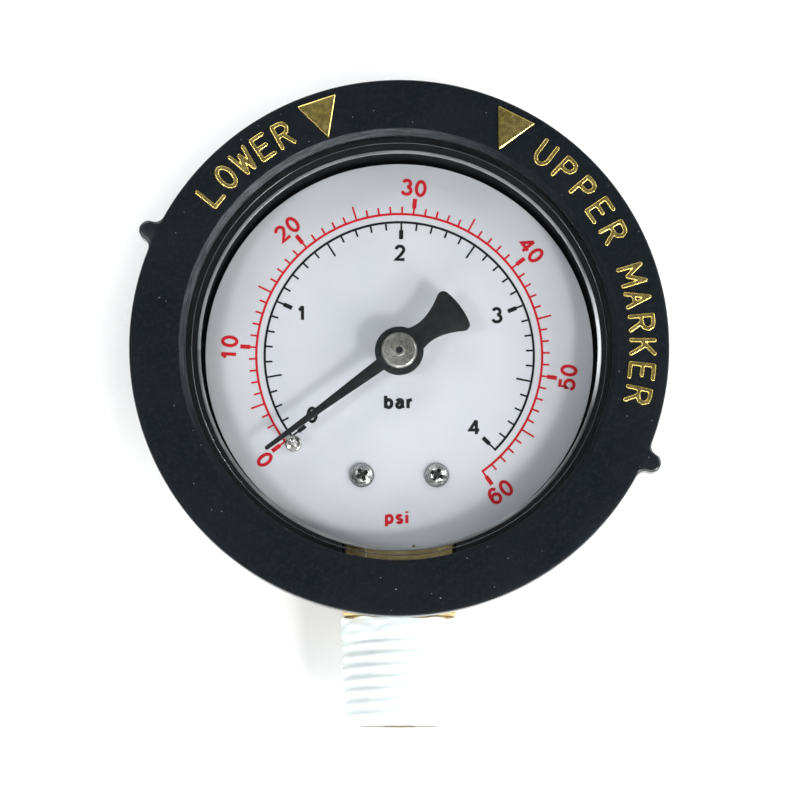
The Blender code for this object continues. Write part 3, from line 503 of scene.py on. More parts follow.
def ring_plastic():
    """Satin blue-black plastic with dust, and grey turned marks on the inner chamfer that show only
    on its upper-left side as a painted highlight.
    """
    s = Surface("ring_plastic")
    fine = s.noise(2.2, 4)
    base = s.clouded(0.12, 4, (0.0034, 0.0054, 0.0078), (0.0054, 0.0074, 0.0100))
    base = s.mix(s.ramp(fine, 0.45, 0.75), base, (0.0085, 0.0108, 0.0135))
    spun, radius, height = s.polar_place(along=1.5)
    marks = s.noise(7.0, 6, vector=spun, roughness=0.6)
    on_chamfer = s.times(s.math("LESS_THAN", radius, FACE_INNER_RADIUS / MM + 0.12),
                         s.math("LESS_THAN", height, (LIP_CHAMFER_DEPTH - RING_FACE) / MM + 0.4))
    # Painted highlight: the grey marks and a stronger specular are kept to the chamfer's upper-left
    # side, which faces the lamps.
    across, up = polar(MM / FACE_INNER_RADIUS, CHAMFER_HIGHLIGHT_ANGLE)
    facing = s.along((across, 0, up))
    highlight_side = s.times(on_chamfer, s.ramp(facing, 0.30, 0.90, 0.05, 1.0))
    marks_and_highlight = s.times(highlight_side, s.ramp(marks, 0.45, 0.65, 0.08, 1.0))
    base = s.mix(marks_and_highlight, base, (0.055, 0.061, 0.070))
    dust = s.math("MAXIMUM", s.specks(0.33, 0.028), s.specks(0.9, 0.05, seed=7.3))
    base = s.mix(s.times(dust, 0.4), base, (0.42, 0.44, 0.46))
    grain = s.noise(7.0, 3)
    rough = s.uneven(0.5, 4, 0.38, 0.48)
    outer_wall = s.math("GREATER_THAN", radius, (RING_RADIUS - 0.1 * MM) / MM)
    specular = s.math("MAXIMUM", s.ramp(highlight_side, 0, 1, 0.08, 0.35), s.times(outer_wall, 0.6))
    rough = s.math("SUBTRACT", rough, s.times(outer_wall, 0.2))
    normal = s.bump(grain, 0.00002, 0.35)
    normal = s.bump(marks_and_highlight, 0.00003, 0.5, normal)
    return s.set(Base_Color=base, Roughness=rough, Specular_IOR_Level=specular, Normal=normal)


def case_plastic():
    """Satin black plastic, left matt inside the cup."""
    s = Surface("case_plastic")
    base = s.clouded(0.25, 4, (0.0050, 0.0056, 0.0066), (0.0085, 0.0093, 0.0108))
    base = s.speckled(base, (0.8, 0.05, 3.1), 0.3, (0.3, 0.31, 0.33))
    grain = s.noise(5.0, 5, roughness=0.65)
    rough = s.uneven(0.7, 4, 0.45, 0.60)
    normal = s.bump(grain, 0.00005, 0.6)
    _, radius, height = s.polar_place()
    inside = s.times(s.math("LESS_THAN", radius, CASE_BORE / MM + 0.1),
                     s.math("LESS_THAN", height, 0.1 - CASE_FLOOR / MM))
    specular = s.ramp(inside, 0, 1, 0.25, 0.015)
    return s.set(Base_Color=base, Roughness=rough, Specular_IOR_Level=specular, Normal=normal)


def gold_foil():
    """Hot-stamped gold foil: a fine pebbled metal film over raised plastic."""
    s = Surface("gold_foil")
    pebble = s.noise(5.0, 2)
    base = s.clouded(0.35, 3, (0.84, 0.64, 0.18), (0.95, 0.76, 0.27))
    base = s.speckled(base, (1.6, 0.07, 1.9), 0.25, (0.40, 0.29, 0.08))
    rough = s.uneven(1.6, 4, 0.22, 0.30)
    normal = s.bump(pebble, 0.00002, 0.15)
    return s.set(Base_Color=base, Metallic=1.0, Roughness=rough, Normal=normal)


def dial_enamel():
    s = Surface("dial_enamel")
    fine = s.noise(6.0, 4)
    base = s.clouded(0.11, 3, (0.67, 0.675, 0.725), (0.735, 0.74, 0.77), 0.3, 0.7)
    base = s.mix(s.ramp(fine, 0.3, 0.9, 0.0, 0.25), base, (0.60, 0.60, 0.66))
    base = s.speckled(base, (0.17, 0.018, 11.0), 0.6, (0.25, 0.23, 0.22))
    rough = s.uneven(1.2, 3, 0.38, 0.48)
    normal = s.bump(fine, 0.00001, 0.4)
    return s.set(Base_Color=base, Roughness=rough, Normal=normal)


def ink(name, dark, light):
    s = Surface(name)
    base = s.clouded(3.5, 4, dark, light)
    rough = s.uneven(2.0, 3, 0.42, 0.58)
    return s.set(Base_Color=base, Roughness=rough, Specular_IOR_Level=0.12,
                 Normal=s.bump(s.noise(12.0, 2), 0.00001, 0.4))


def pointer_enamel():
    s = Surface("pointer_enamel")
    base = s.clouded(0.9, 4, (0.009, 0.0095, 0.011), (0.016, 0.017, 0.019))
    base = s.speckled(base, (0.5, 0.05, 5.5), 0.5, (0.35, 0.35, 0.36))
    rough = s.uneven(2.0, 3, 0.40, 0.52)
    return s.set(Base_Color=base, Roughness=rough, Specular_IOR_Level=0.18,
                 Normal=s.bump(s.noise(8.0, 3), 0.00002, 0.5))


def spun_metal(name, dark, light, roughness, centre=(0, 0), marks=14.0, relief=0.35):
    """Turned metal: fine rings about an axis parallel to Y, with a few pits."""
    s = Surface(name)
    spun, _, _ = s.polar_place(centre, along=0.25)
    rings = s.noise(marks, 4, vector=spun)
    base = s.clouded(1.4, 4, dark, light)
    base = s.speckled(base, (1.6, 0.06, 2.2), 0.25, (0.08, 0.075, 0.07))
    rough = s.ramp(rings, 0.3, 0.7, roughness - 0.06, roughness + 0.08)
    normal = s.bump(rings, 0.00003, relief)
    return s.set(Base_Color=base, Metallic=1.0, Roughness=rough, Normal=normal)


def screw_metal(name, centre, front, radius):
    """A plated pan head: bright on top, with painted shade in the cross recess and round the edge."""
    s = Surface(name)
    spun, out, height = s.polar_place(centre, along=0.25)
    rings = s.noise(9.0, 4, vector=spun)
    base = s.clouded(1.8, 3, (0.72, 0.72, 0.70), (0.92, 0.91, 0.88))
    # Painted shade: the cross recess is made dark, and so is the edge of the head.
    recess_shade = s.ramp(height, -front / MM + 0.12, -front / MM + 0.30)
    inside = s.math("LESS_THAN", out, radius * 0.7 / MM)
    base = s.mix(s.times(s.times(recess_shade, inside), 0.82), base, (0.09, 0.088, 0.082))
    rim = s.ramp(out, radius * 0.86 / MM, radius * 0.95 / MM)
    base = s.mix(s.times(rim, 0.90), base, (0.05, 0.05, 0.05))
    rough = s.ramp(rings, 0.3, 0.7, 0.20, 0.32)
    return s.set(Base_Color=base, Metallic=1.0, Roughness=rough,
                 Normal=s.bump(rings, 0.00003, 0.3))


def milled_brass():
    """Sawn and milled brass bar: crosswise tool marks, dull patches, one scribed line and painted
    shade on the stem's end face.
    """
    s = Surface("milled_brass")
    across = s.noise(2.0, 6, vector=s.stretched((0.5, 6.0, 6.0)))
    upright = s.noise(2.0, 5, vector=s.stretched((9.0, 0.6, 0.6)))
    base = s.clouded(0.6, 4, (0.44, 0.33, 0.14), (0.65, 0.52, 0.26), 0.3, 0.7)
    base = s.mix(s.ramp(upright, 0.5, 0.8, 0.0, 0.5), base, (0.23, 0.17, 0.06))
    base = s.mix(s.ramp(across, 0.55, 0.8, 0.0, 0.6), base, (0.25, 0.19, 0.08))
    x, _, z = s.split(s.place)
    scribe = s.math("LESS_THAN", s.math("ABSOLUTE", s.math("ADD", x, 3.95)), 0.09)
    base = s.mix(s.times(scribe, 0.85), base, (0.80, 0.68, 0.42))
    # Painted shade: the stem's end face, which lies in shade, is made dark brown.
    end_face_shade = s.math("LESS_THAN", z, STEM_END / MM + 0.05)
    base = s.mix(s.times(end_face_shade, 0.9), base, (0.045, 0.032, 0.020))
    rough = s.ramp(across, 0.3, 0.7, 0.30, 0.48)
    normal = s.bump(across, 0.00006, 0.5)
    normal = s.bump(upright, 0.00004, 0.4, normal)
    return s.set(Base_Color=base, Metallic=1.0, Roughness=rough, Normal=normal)


def brushed_metal(name, dark, light, roughness):
    """Stamped sheet metal with long brush marks."""
    s = Surface(name)
    brush = s.noise(2.5, 5, vector=s.stretched((0.4, 5.0, 5.0)))
    base = s.clouded(0.5, 4, dark, light, 0.3, 0.7)
    rough = s.ramp(brush, 0.3, 0.7, roughness - 0.07, roughness + 0.09)
    return s.set(Base_Color=base, Metallic=1.0, Roughness=rough, Normal=s.bump(brush, 0.00004, 0.4))


def tape_white():
    """PTFE tape: soft white film with fine stretch fibres round the stem."""
    s = Surface("ptfe_tape")
    fibres = s.noise(3.0, 5, vector=s.stretched((1.0, 1.0, 7.0)))
    base = s.clouded(0.5, 3, (0.71, 0.755, 0.765), (0.785, 0.82, 0.825), 0.3, 0.7)
    base = s.mix(s.ramp(fibres, 0.55, 0.8, 0.0, 0.35), base, (0.70, 0.75, 0.76))
    normal = s.bump(fibres, 0.00005, 0.6)
    return s.set(Base_Color=base, Roughness=0.42, Subsurface_Weight=0.12,
                 Subsurface_Scale=0.0006, Normal=normal)


def clear_window(name, low, high):
    """Clear moulded plastic: see-through, with reflections that grow towards grazing angles.

    The reflections keep a share of their strength between low and high.
    """
    s = Surface(name)
    scratches = s.noise(1.6, 5, vector=s.stretched((0.3, 3.0, 3.0)))
    normal = s.bump(s.ramp(scratches, 0.6, 0.75), 0.000004, 0.3)
    fresnel = s.add("Fresnel", IOR=1.46, Normal=normal)
    smears = s.ramp(s.noise(0.3, 4), 0.35, 0.7, low, high)
    s.set(Base_Color=(0.95, 0.98, 1.0), Metallic=1.0, Roughness=0.05, Normal=normal)
    clear = s.add("BsdfTransparent", Color=(0.985, 0.992, 0.992))
    s.blend_output(s.times(fresnel, smears), clear, s.shader.outputs[0])
    return s.material


def window_edge(name, dark, light, painted_glow=0.0):
    """A painted highlight on an edge of the clear window: an opaque pale line.

    Near its right end it carries a painted glint, white and glowing, whose strength is given.
    """
    s = Surface(name)
    spun, _, _ = s.polar_place(along=3.0)
    streaks = s.noise(0.9, 5, vector=spun)
    # Painted glint: near the right end the line is painted white and made to glow.
    across, up = polar(MM / WINDOW_RADIUS, GLINT_ANGLE)
    painted_glint = s.ramp(s.along((across, 0, up)), 0.86, 0.92)
    painted_glint = s.times(painted_glint, s.ramp(streaks, 0.35, 0.6, 0.3, 1.0))
    base = s.mix(s.ramp(streaks, 0.4, 0.7), dark, light)
    base = s.mix(s.times(painted_glint, painted_glow), base, (0.95, 0.97, 1.0))
    return s.set(Base_Color=base, Roughness=0.16, Specular_IOR_Level=0.9,
                 Normal=s.bump(streaks, 0.00003, 0.4),
                 Emission_Color=(0.95, 0.98, 1.0),
                 Emission_Strength=s.times(painted_glint, 0.5 * painted_glow))


# ---------------------------------------------------------------- marker ring


def tab_outline():
    """A finger tab at angle 0, counter-clockwise: a fillet, the bulb and the other fillet."""
    reach = RING_RADIUS + TAB_FILLET_RADIUS
    span = TAB_BULB_RADIUS + TAB_FILLET_RADIUS
    x = (reach**2 - span**2 + TAB_BULB_DISTANCE**2) / (2 * TAB_BULB_DISTANCE)
    y = math.sqrt(reach**2 - x**2)
    to_ring = math.degrees(math.atan2(-y, -x)) + 360
    to_bulb = math.degrees(math.atan2(-y, TAB_BULB_DISTANCE - x)) + 360
    upper = arc((x, y), TAB_FILLET_RADIUS, to_bulb, to_ring, 12)
    bulb = arc((TAB_BULB_DISTANCE, 0), TAB_BULB_RADIUS, 180 - to_bulb, to_bulb - 180, 24)
    lower = [(px, -py) for px, py in reversed(upper)]
    return lower[:-1] + bulb + upper[1:]


def ring_outline():
    """The ring's outer edge with its two tabs, counter-clockwise from the first tab."""
    tab = tab_outline()
    half_span = math.degrees(math.atan2(tab[-1][1], tab[-1][0]))
    outline = []
    for angle in TAB_ANGLES:
        turned = Matrix.Rotation(math.radians(angle), 2)
        outline += [tuple(turned @ Vector(point)) for point in tab]
        edge = arc((0, 0), RING_RADIUS, angle + half_span, angle + 180 - half_span, 132)
        outline += edge[1:-1]
    return outline


def ring_mesh():
    """The outer edge follows the tabs, and the rest of the section is round."""
    flange_back = RING_FACE - FLANGE_THICKNESS
    corner = 0.32 * MM
    outline = ring_outline()
    edge = [
        (2 * MM, RING_FACE, 0),
        (0, RING_FACE, corner),
        (0, flange_back, corner),
        (2 * MM, flange_back, 0),
    ]
    loops = []
    for distance, height in filleted(edge, closed=False)[1:-1]:
        loops.append([(x, y, height) for x, y in inset(outline, distance)])
    bead_front = RING_BACK + SNAP_BEAD_LENGTH
    lip_back = WINDOW_FRONT + PLAY
    inner = [
        (RING_RADIUS - 1.2 * MM, flange_back, 0),
        (COLLAR_RADIUS, flange_back, 0.4 * MM),
        (COLLAR_RADIUS, RING_BACK, 0.3 * MM),
        (SNAP_BEAD_RADIUS, RING_BACK, 0.2 * MM),
        (SNAP_BEAD_RADIUS, bead_front, 0.1 * MM),
        (RING_BORE, bead_front, 0.1 * MM),
        (RING_BORE, lip_back, 0.1 * MM),
        (LIP_RADIUS, lip_back, 0.12 * MM),
        (LIP_RADIUS, RING_FACE - LIP_CHAMFER_DEPTH, 0.15 * MM),
        (FACE_INNER_RADIUS, RING_FACE, 0.12 * MM),
        (RING_RADIUS - 1.2 * MM, RING_FACE, 0),
    ]
    angles = [math.atan2(y, x) for x, y in outline]
    for radius, height in filleted(inner, closed=False):
        loop = [(radius * math.cos(a), radius * math.sin(a), height) for a in angles]
        loops.append(loop)
    return loft_mesh("marker_ring", loops, True, sharp=40)


def arrow_mesh(angle):
    """A raised triangle whose point meets the dial side of the ring's face."""
    outward = Vector(polar(1, angle))
    across = Vector((-outward.y, outward.x))
    apex = outward * ARROW_APEX_RADIUS
    left = outward * ARROW_BASE_RADIUS + across * ARROW_HALF_WIDTH
    right = outward * ARROW_BASE_RADIUS - across * ARROW_HALF_WIDTH
    corners = [(*point, 0.12 * MM) for point in (apex, right, left)]
    outline = filleted(corners, closed=True)
    return raised_mesh("ring_arrow", outline, RING_FACE - 0.1 * MM, 0.42 * MM, 0.16 * MM, sharp=20)


def flatten_front(mesh, height):
    """Presses everything in front of a height back to it: a flat top with round edges is left."""
    for vertex in mesh.vertices:
        vertex.co.y = max(vertex.co.y, -height)


def letter_strokes():
    """Single-line capitals in a box 1 wide and 1 high."""
    bowl = [(0.55, 1.0), (0.85, 0.95), (1.0, 0.77), (0.85, 0.57), (0.55, 0.5)]
    oval = [(0.5 + 0.5 * math.cos(i * math.tau / 16), 0.5 + 0.5 * math.sin(i * math.tau / 16))
            for i in range(17)]
    cup = [(0.5 - 0.5 * math.cos(i * math.pi / 8), 0.35 - 0.35 * math.sin(i * math.pi / 8))
           for i in range(9)]
    return {
        "A": [[(0, 0), (0.5, 1), (1, 0)], [(0.2, 0.33), (0.8, 0.33)]],
        "E": [[(1, 1), (0, 1), (0, 0), (1, 0)], [(0, 0.52), (0.8, 0.52)]],
        "K": [[(0, 0), (0, 1)], [(1, 1), (0, 0.42)], [(0.36, 0.62), (1, 0)]],
        "L": [[(0, 1), (0, 0), (1, 0)]],
        "M": [[(0, 0), (0, 1), (0.5, 0.3), (1, 1), (1, 0)]],
        "O": [oval],
        "P": [[(0, 0), (0, 1)] + bowl + [(0, 0.5)]],
        "R": [[(0, 0), (0, 1)] + bowl + [(0, 0.5)], [(0.5, 0.5), (1, 0)]],
        "U": [[(0, 1)] + cup + [(1, 1)]],
        "W": [[(0, 1), (0.25, 0), (0.5, 0.8), (0.75, 0), (1, 1)]],
    }


def add_stroke(bm, start, end):
    """A bar with ball ends between two points on the ring's face."""
    along = end - start
    turn_to = Vector((0, 0, 1)).rotation_difference(along).to_matrix().to_4x4()
    middle = Matrix.Translation((start + end) / 2) @ turn_to
    radius = LETTER_STROKE_RADIUS
    bmesh.ops.create_cone(bm, cap_ends=True, segments=14, radius1=radius, radius2=radius,
                          depth=along.length, matrix=middle)
    for point in (start, end):
        bmesh.ops.create_uvsphere(bm, u_segments=14, v_segments=8, radius=radius,
                                  matrix=Matrix.Translation(point))


def word_mesh(name, word, first_angle, last_angle):
    """Raised letters that stand outwards and read clockwise round the ring."""
    strokes = letter_strokes()
    bm = bmesh.new()
    for i, letter in enumerate(word):
        angle = first_angle + (last_angle - first_angle) * i / (len(word) - 1)
        outward = Vector((*polar(1, angle), 0))
        across = Vector((outward.y, -outward.x, 0))
        centre = outward * LETTER_RADIUS + Vector((0, 0, RING_FACE - 0.04 * MM))
        width = LETTER_WIDTH * (WIDE_LETTER if letter in "MW" else 1.0)
        for stroke in strokes[letter]:
            places = [centre + across * (x - 0.5) * width + outward * (y - 0.5) * LETTER_HEIGHT
                      for x, y in stroke]
            for start, end in zip(places, places[1:]):
                add_stroke(bm, start, end)
    mesh = voxel_union(finish_mesh(bm, name), 0.06 * MM)
    flatten_front(mesh, RING_FACE + 0.17 * MM)
    mesh.shade_smooth()
    return mesh


def make_ring():
    body = "marker_ring"
    add_piece("marker_ring", ring_mesh(), "ring_plastic", body, "bezel_ring")
    for side, angle in zip(("low", "high"), ARROW_ANGLES):
        add_piece(f"ring_arrow_{side}", arrow_mesh(angle), "gold_foil", body)
    for place, word in RING_WORDS.items():
        add_piece(f"ring_word_{place}", word_mesh(place, *word), "gold_foil", body)


# ---------------------------------------------------------------- window and case


def make_window():
    """A disc with a rounded step near its edge, and the spigot that centres it in the case."""
    disc_back = CASE_RIM + PLAY
    edge_front = WINDOW_FRONT - WINDOW_STEP_DEPTH
    corners = [
        (0.5 * MM, WINDOW_FRONT, 0),
        (WINDOW_RAISED_RADIUS, WINDOW_FRONT, 0.15 * MM),
        (WINDOW_STEP_RADIUS, edge_front, 0.12 * MM),
        (WINDOW_RADIUS, edge_front, 0.2 * MM),
        (WINDOW_RADIUS, disc_back, 0.2 * MM),
        (0.5 * MM, disc_back, 0),
    ]
    mesh = turned_mesh("window", corners, closed=False, steps=ROUND_STEPS)
    add_piece("window_disc", mesh, "window_plastic", "housing", "window")
    outer = CASE_BORE - PLAY
    turn_band("window_spigot", outer - SPIGOT_WALL, outer, SPIGOT_BACK, disc_back - 0.05 * MM,
              "clear_spigot")
    # An opaque pale ring under the window's edge: a painted highlight line, with a painted glint at
    # its right.
    bead_back = disc_back - 0.28 * MM
    bead_front = disc_back - 0.02 * MM
    turn_band("window_highlight_bead", 23.48 * MM, 23.90 * MM, bead_back, bead_front, "window_edge")
    # A thin grey ring on the window's step: a painted faint highlight line.
    turn_band("step_highlight", 24.42 * MM, 24.54 * MM, WINDOW_FRONT - 0.12 * MM,
              WINDOW_FRONT + 0.03 * MM, "step_highlight")


def turn_band(name, inner, outer, back, front, finish):
    """A round-cornered ring that belongs to the window."""
    corner = 0.48 * min(outer - inner, front - back)
    corners = [
        (outer, front, corner),
        (outer, back, corner),
        (inner, back, corner),
        (inner, front, corner),
    ]
    mesh = turned_mesh(name, corners, closed=True, steps=ROUND_STEPS)
    add_piece(name, mesh, finish, "housing")


def make_case():
    """The cup with its floor, a slot for the socket and recesses for the two screws at the back."""
    groove_floor = CASE_BACK + BACK_GROOVE_DEPTH
    corners = [
        (0.5 * MM, CASE_FLOOR, 0),
        (CASE_BORE, CASE_FLOOR, 0.6 * MM),
        (CASE_BORE, CASE_RIM, 0.15 * MM),
        (CASE_RADIUS, CASE_RIM, 0.15 * MM),
        (CASE_RADIUS, CASE_BAND_BACK, 0.2 * MM),
        (CASE_BODY_RADIUS, CASE_BAND_BACK, 0.1 * MM),
        (CASE_BODY_RADIUS, CASE_BACK, 1.4 * MM),
        (BACK_GROOVE_OUTER, CASE_BACK, 0.1 * MM),
        (BACK_GROOVE_OUTER - BACK_GROOVE_DEPTH, groove_floor, 0.1 * MM),
        (BACK_GROOVE_INNER + BACK_GROOVE_DEPTH, groove_floor, 0.1 * MM),
        (BACK_GROOVE_INNER, CASE_BACK, 0.1 * MM),
        (0.5 * MM, CASE_BACK, 0),
    ]
    mesh = turned_mesh("case", corners, closed=False, steps=ROUND_STEPS)
    slot_side = SOCKET_HALF_WIDTH + PLAY
    slot_low = (-slot_side, -30 * MM, CASE_FLOOR + 0.05 * MM)
    slot_high = (slot_side, -15 * MM, CASE_RIM + MM)
    mesh = cut_away(mesh, box_mesh(slot_low, slot_high))
    for side in ("left", "right"):
        screw = f"case_screw_{side}"
        radius = half_width(screw) + PLAY
        recess = drill([(centre_of(screw), radius)], -MM, CASE_SCREW_RECESS)
        mesh = cut_away(mesh, recess)
    add_piece("case_shell", mesh, "case_plastic", "housing", "case")


# ---------------------------------------------------------------- dial and its printing


def dial_mesh():
    """The dial plate with its rounded rim, small V notch and holes."""
    first = DIAL_NOTCH_ANGLE + DIAL_NOTCH_HALF_ANGLE
    last = DIAL_NOTCH_ANGLE - DIAL_NOTCH_HALF_ANGLE + 360
    outline = arc((0, 0), DIAL_RADIUS, first, last, ROUND_STEPS)
    outline.append(polar(DIAL_RADIUS - DIAL_NOTCH_DEPTH, DIAL_NOTCH_ANGLE))
    mesh = raised_mesh("dial", outline, DIAL_BACK, DIAL_FRONT - DIAL_BACK, 0.1 * MM)
    holes = [((0, 0), 2.2 * MM)]
    for side in ("left", "right"):
        holes.append((centre_of(f"dial_screw_{side}"), 1.1 * MM))
    holes.append((centre_of("stop_pin"), 0.6 * MM))
    return cut_away(mesh, drill(holes, DIAL_BACK - MM, DIAL_FRONT + MM))


def add_ribbon(bm, path, width, closed=False, lift=0):
    """A printed line of one width along (x, y) points, with square ends."""
    points = [Vector(point) for point in path]
    last = len(points) - 1
    sections = []
    for i, point in enumerate(points):
        before = points[i - 1] if i > 0 or closed else None
        after = points[(i + 1) % (last + 1)] if i < last or closed else None
        arriving = (point - before).normalized() if before else (after - point).normalized()
        leaving = (after - point).normalized() if after else arriving
        along = (arriving + leaving).normalized()
        mitre = width / 2 / max(0.5, along.dot(arriving))
        side = Vector((-along.y, along.x)) * mitre
        low, high = DIAL_FRONT - INK_THICKNESS, DIAL_FRONT + INK_THICKNESS + lift
        left, right = point + side, point - side
        sections.append([(*left, low), (*right, low), (*right, high), (*left, high)])
    loft(bm, sections, ring=closed)


def add_bar(bm, angle, inner, outer, width):
    """A radial printed line, a little above the scale's arc so that no two faces coincide."""
    lift = INK_LAYER * (1 + width / THICK_LINE)
    add_ribbon(bm, [polar(inner, angle), polar(outer, angle)], width, lift=lift)


def add_arc(bm, radius, start, end, width):
    add_ribbon(bm, arc((0, 0), radius, start, end, 160), width)


def add_scale(bm, radius, outward, angles, marks):
    """An arc with a line at each angle, longer at each fifth and with a thick part at each tenth.

    marks holds the short line's length, the long line's, and where the thick part starts and ends.
    """
    half_line = math.degrees(THIN_LINE / 2 / radius)
    add_arc(bm, radius, min(angles.values()) - half_line, ZERO_ANGLE + half_line, ARC_LINE)
    short, long, thick_start, thick_end = (radius + outward * length * MM for length in marks)
    for number, angle in angles.items():
        tip = long if number % 5 == 0 else short
        add_bar(bm, angle, *sorted((radius, tip)), THIN_LINE)
        if number % 10 == 0:
            add_bar(bm, angle, *sorted((thick_start, thick_end)), THICK_LINE)


def psi_scale(bm):
    angles = {0: ZERO_ANGLE}
    for psi in range(3, 61):
        angles[psi] = PSI_TEN_ANGLE - PSI_STEP * (psi - 10)
    add_scale(bm, PSI_ARC_RADIUS, 1, angles, (0.9, 1.75, 0.75, 1.95))


def bar_scale(bm):
    angles = {0: ZERO_ANGLE}
    for tenth in range(2, 41):
        angles[tenth] = BAR_ONE_ANGLE - BAR_TENTH_STEP * (tenth - 10)
    add_scale(bm, BAR_ARC_RADIUS, -1, angles, (0.93, 1.86, 2.05, 0.95))


def bow(centre, radii, start, end, count=14):
    """Points of an ellipse's arc in a glyph's box."""
    points = []
    for i in range(count):
        angle = math.radians(start + (end - start) * i / (count - 1))
        x = centre[0] + radii[0] * math.cos(angle)
        y = centre[1] + radii[1] * math.sin(angle)
        points.append((x, y))
    return points


def glyph_strokes():
    """(width, open strokes, closed strokes) of each printed character, in cap heights.

    Strokes are centre lines in a box 1 wide and 1 high, and the width is the box's own.
    """
    round_zero = bow((0.5, 0.5), (0.5, 0.5), 0, 345, 24)
    six_bowl = bow((0.5, 0.31), (0.5, 0.31), 0, 345, 24)
    x_height = 0.70
    bowl = bow((0.5, x_height / 2), (0.5, x_height / 2), 0, 345, 24)
    upper_three = bow((0.46, 0.76), (0.42, 0.24), 165, -82)
    lower_three = bow((0.48, 0.27), (0.52, 0.27), 84, -165)
    two = bow((0.48, 0.73), (0.47, 0.27), 172, -28)
    five = bow((0.46, 0.33), (0.54, 0.33), 138, -162)
    six_back = bow((0.56, 0.46), (0.56, 0.54), 190, 42)
    arm = bow((0.47, 0.52), (0.45, 0.18), 165, 0)
    low_bowl = bow((0.40, 0.20), (0.40, 0.20), 75, 300)
    upper_s = bow((0.48, 0.53), (0.42, 0.17), 20, 215)
    lower_s = bow((0.48, 0.17), (0.48, 0.17), 35, -160)
    return {
        "0": (0.49, [], [round_zero]),
        "1": (0.49, [[(0.62, 0), (0.62, 1.04)], [(0.18, 0.72), (0.42, 0.84), (0.60, 1.02)]], []),
        "2": (0.49, [two + [(0.55, 0.32), (0.0, 0.0), (1.05, 0.0)]], []),
        "3": (0.49, [upper_three, lower_three], []),
        "4": (0.49, [[(0.76, -0.04), (0.76, 1.0)], [(0.74, 0.98), (-0.04, 0.27), (1.12, 0.27)]], []),
        "5": (0.49, [[(0.96, 1.0), (0.20, 1.0), (0.06, 0.50)] + five], []),
        "6": (0.49, [six_back], [six_bowl]),
        "b": (0.42, [[(0, -0.06), (0, 1.06)]], [bowl]),
        "a": (0.42, [arm + [(0.92, 0.20), (1.02, -0.06)], low_bowl + [(0.90, 0.22)],
                     [(0.50, 0.39), (0.92, 0.44)]], []),
        "r": (0.22, [[(0, -0.06), (0, 0.76)], [(0, 0.42), (0.35, 0.64), (1.25, 0.70)]], []),
        "p": (0.42, [[(0, -0.36), (0, 0.76)]], [bowl]),
        "s": (0.38, [upper_s + lower_s], []),
        "i": (0.02, [[(0.5, -0.06), (0.5, 0.76)], [(0.5, 0.94), (0.5, 1.09)]], []),
    }


def add_text(bm, text, height, centre, degrees):
    """Printed characters whose digits have the given height, centred and turned."""
    glyphs = glyph_strokes()
    stroke = (WORD_STROKE if text.isalpha() else DIGIT_STROKE) * height
    gap = 0.11 * height + stroke
    widths = [glyphs[letter][0] * height for letter in text]
    start = -(sum(widths) + gap * (len(text) - 1)) / 2
    turned = Matrix.Rotation(math.radians(degrees), 2)
    for letter, width in zip(text, widths):
        _, open_strokes, closed_strokes = glyphs[letter]
        for layer, path in enumerate(open_strokes + closed_strokes):
            places = []
            for x, y in path:
                flat = Vector((start + x * width, (y - 0.5) * (height - stroke)))
                places.append(tuple(turned @ flat + Vector(centre)))
            add_ribbon(bm, places, stroke, path in closed_strokes, layer * INK_LAYER)
        start += width + gap


def psi_numbers():
    """(text, height, place, turn) of the red figures, which stand outwards from the scale."""
    texts = []
    for psi in range(0, 61, 10):
        angle = PSI_TEN_ANGLE - PSI_STEP * (psi - 10)
        if psi == 0:
            angle = ZERO_ANGLE
        outward = 90 if psi in (0, 50, 60) else -90
        place = polar(PSI_NUMBER_RADIUS, angle + 0.8)
        texts.append((str(psi), PSI_NUMBER_HEIGHT, place, angle + outward))
    texts.append(("psi", PSI_WORD_HEIGHT, (-0.3 * MM, -19.45 * MM), 0))
    return texts


def bar_numbers():
    """(text, height, place, turn) of the black figures, which all stand upright."""
    places = {
        "0": (-10.4, -7.15),
        "1": (-11.7, 5.1),
        "2": (0.1, 12.4),
        "3": (11.7, 4.85),
        "4": (8.95, -8.6),
    }
    texts = []
    for text, (x, y) in places.items():
        texts.append((text, BAR_NUMBER_HEIGHT, (x * MM, y * MM), 0))
    texts.append(("bar", BAR_WORD_HEIGHT, (-0.1 * MM, -5.6 * MM), 0))
    return texts


def make_dial():
    add_piece("dial_face", dial_mesh(), "dial_enamel", "housing", "dial_plate")
    prints = {"red": (psi_scale, psi_numbers), "black": (bar_scale, bar_numbers)}
    for name, (scale, numbers) in prints.items():
        bm = bmesh.new()
        scale(bm)
        for text in numbers():
            add_text(bm, *text)
        mesh = finish_mesh(bm, f"print_{name}")
        add_piece(f"dial_print_{name}", mesh, f"{name}_ink", "housing")


# ---------------------------------------------------------------- pointer, hub, pin and screws


def pointer_outline():
    """The pointer along +X: tapering blade, disc round the hub and fan tail with hollow sides."""
    disc = POINTER_DISC_RADIUS
    blade_root = math.degrees(math.asin(0.76 * MM / disc))
    tail_root = 32
    tip_radius = 0.25 * MM
    tip = arc((POINTER_LENGTH - tip_radius, 0), tip_radius, 0, 80, 5)
    blade = [(11 * MM, 0.45 * MM)]
    upper_disc = arc((0, 0), disc, blade_root, 180 - tail_root, 24)
    start = Vector(upper_disc[-1])
    corner_radius = 0.75 * MM
    corner_angle = 180 - FAN_HALF_ANGLE + math.degrees(corner_radius / FAN_RADIUS)
    corner = polar(FAN_RADIUS - corner_radius, corner_angle)
    end = Vector(polar(corner_radius, 62, corner))
    pull = Vector((-4.6 * MM, 0.78 * MM))
    side = []
    for i in range(1, 10):
        t = i / 10
        side.append(tuple(start * (1 - t) ** 2 + pull * 2 * t * (1 - t) + end * t * t))
    rounding = arc(corner, corner_radius, 62, corner_angle, 9)
    fan = arc((0, 0), FAN_RADIUS, corner_angle, 180, 8)
    upper = tip + blade + upper_disc + side + rounding + fan[1:]
    lower = [(x, -y) for x, y in reversed(upper[1:-1])]
    return upper + lower


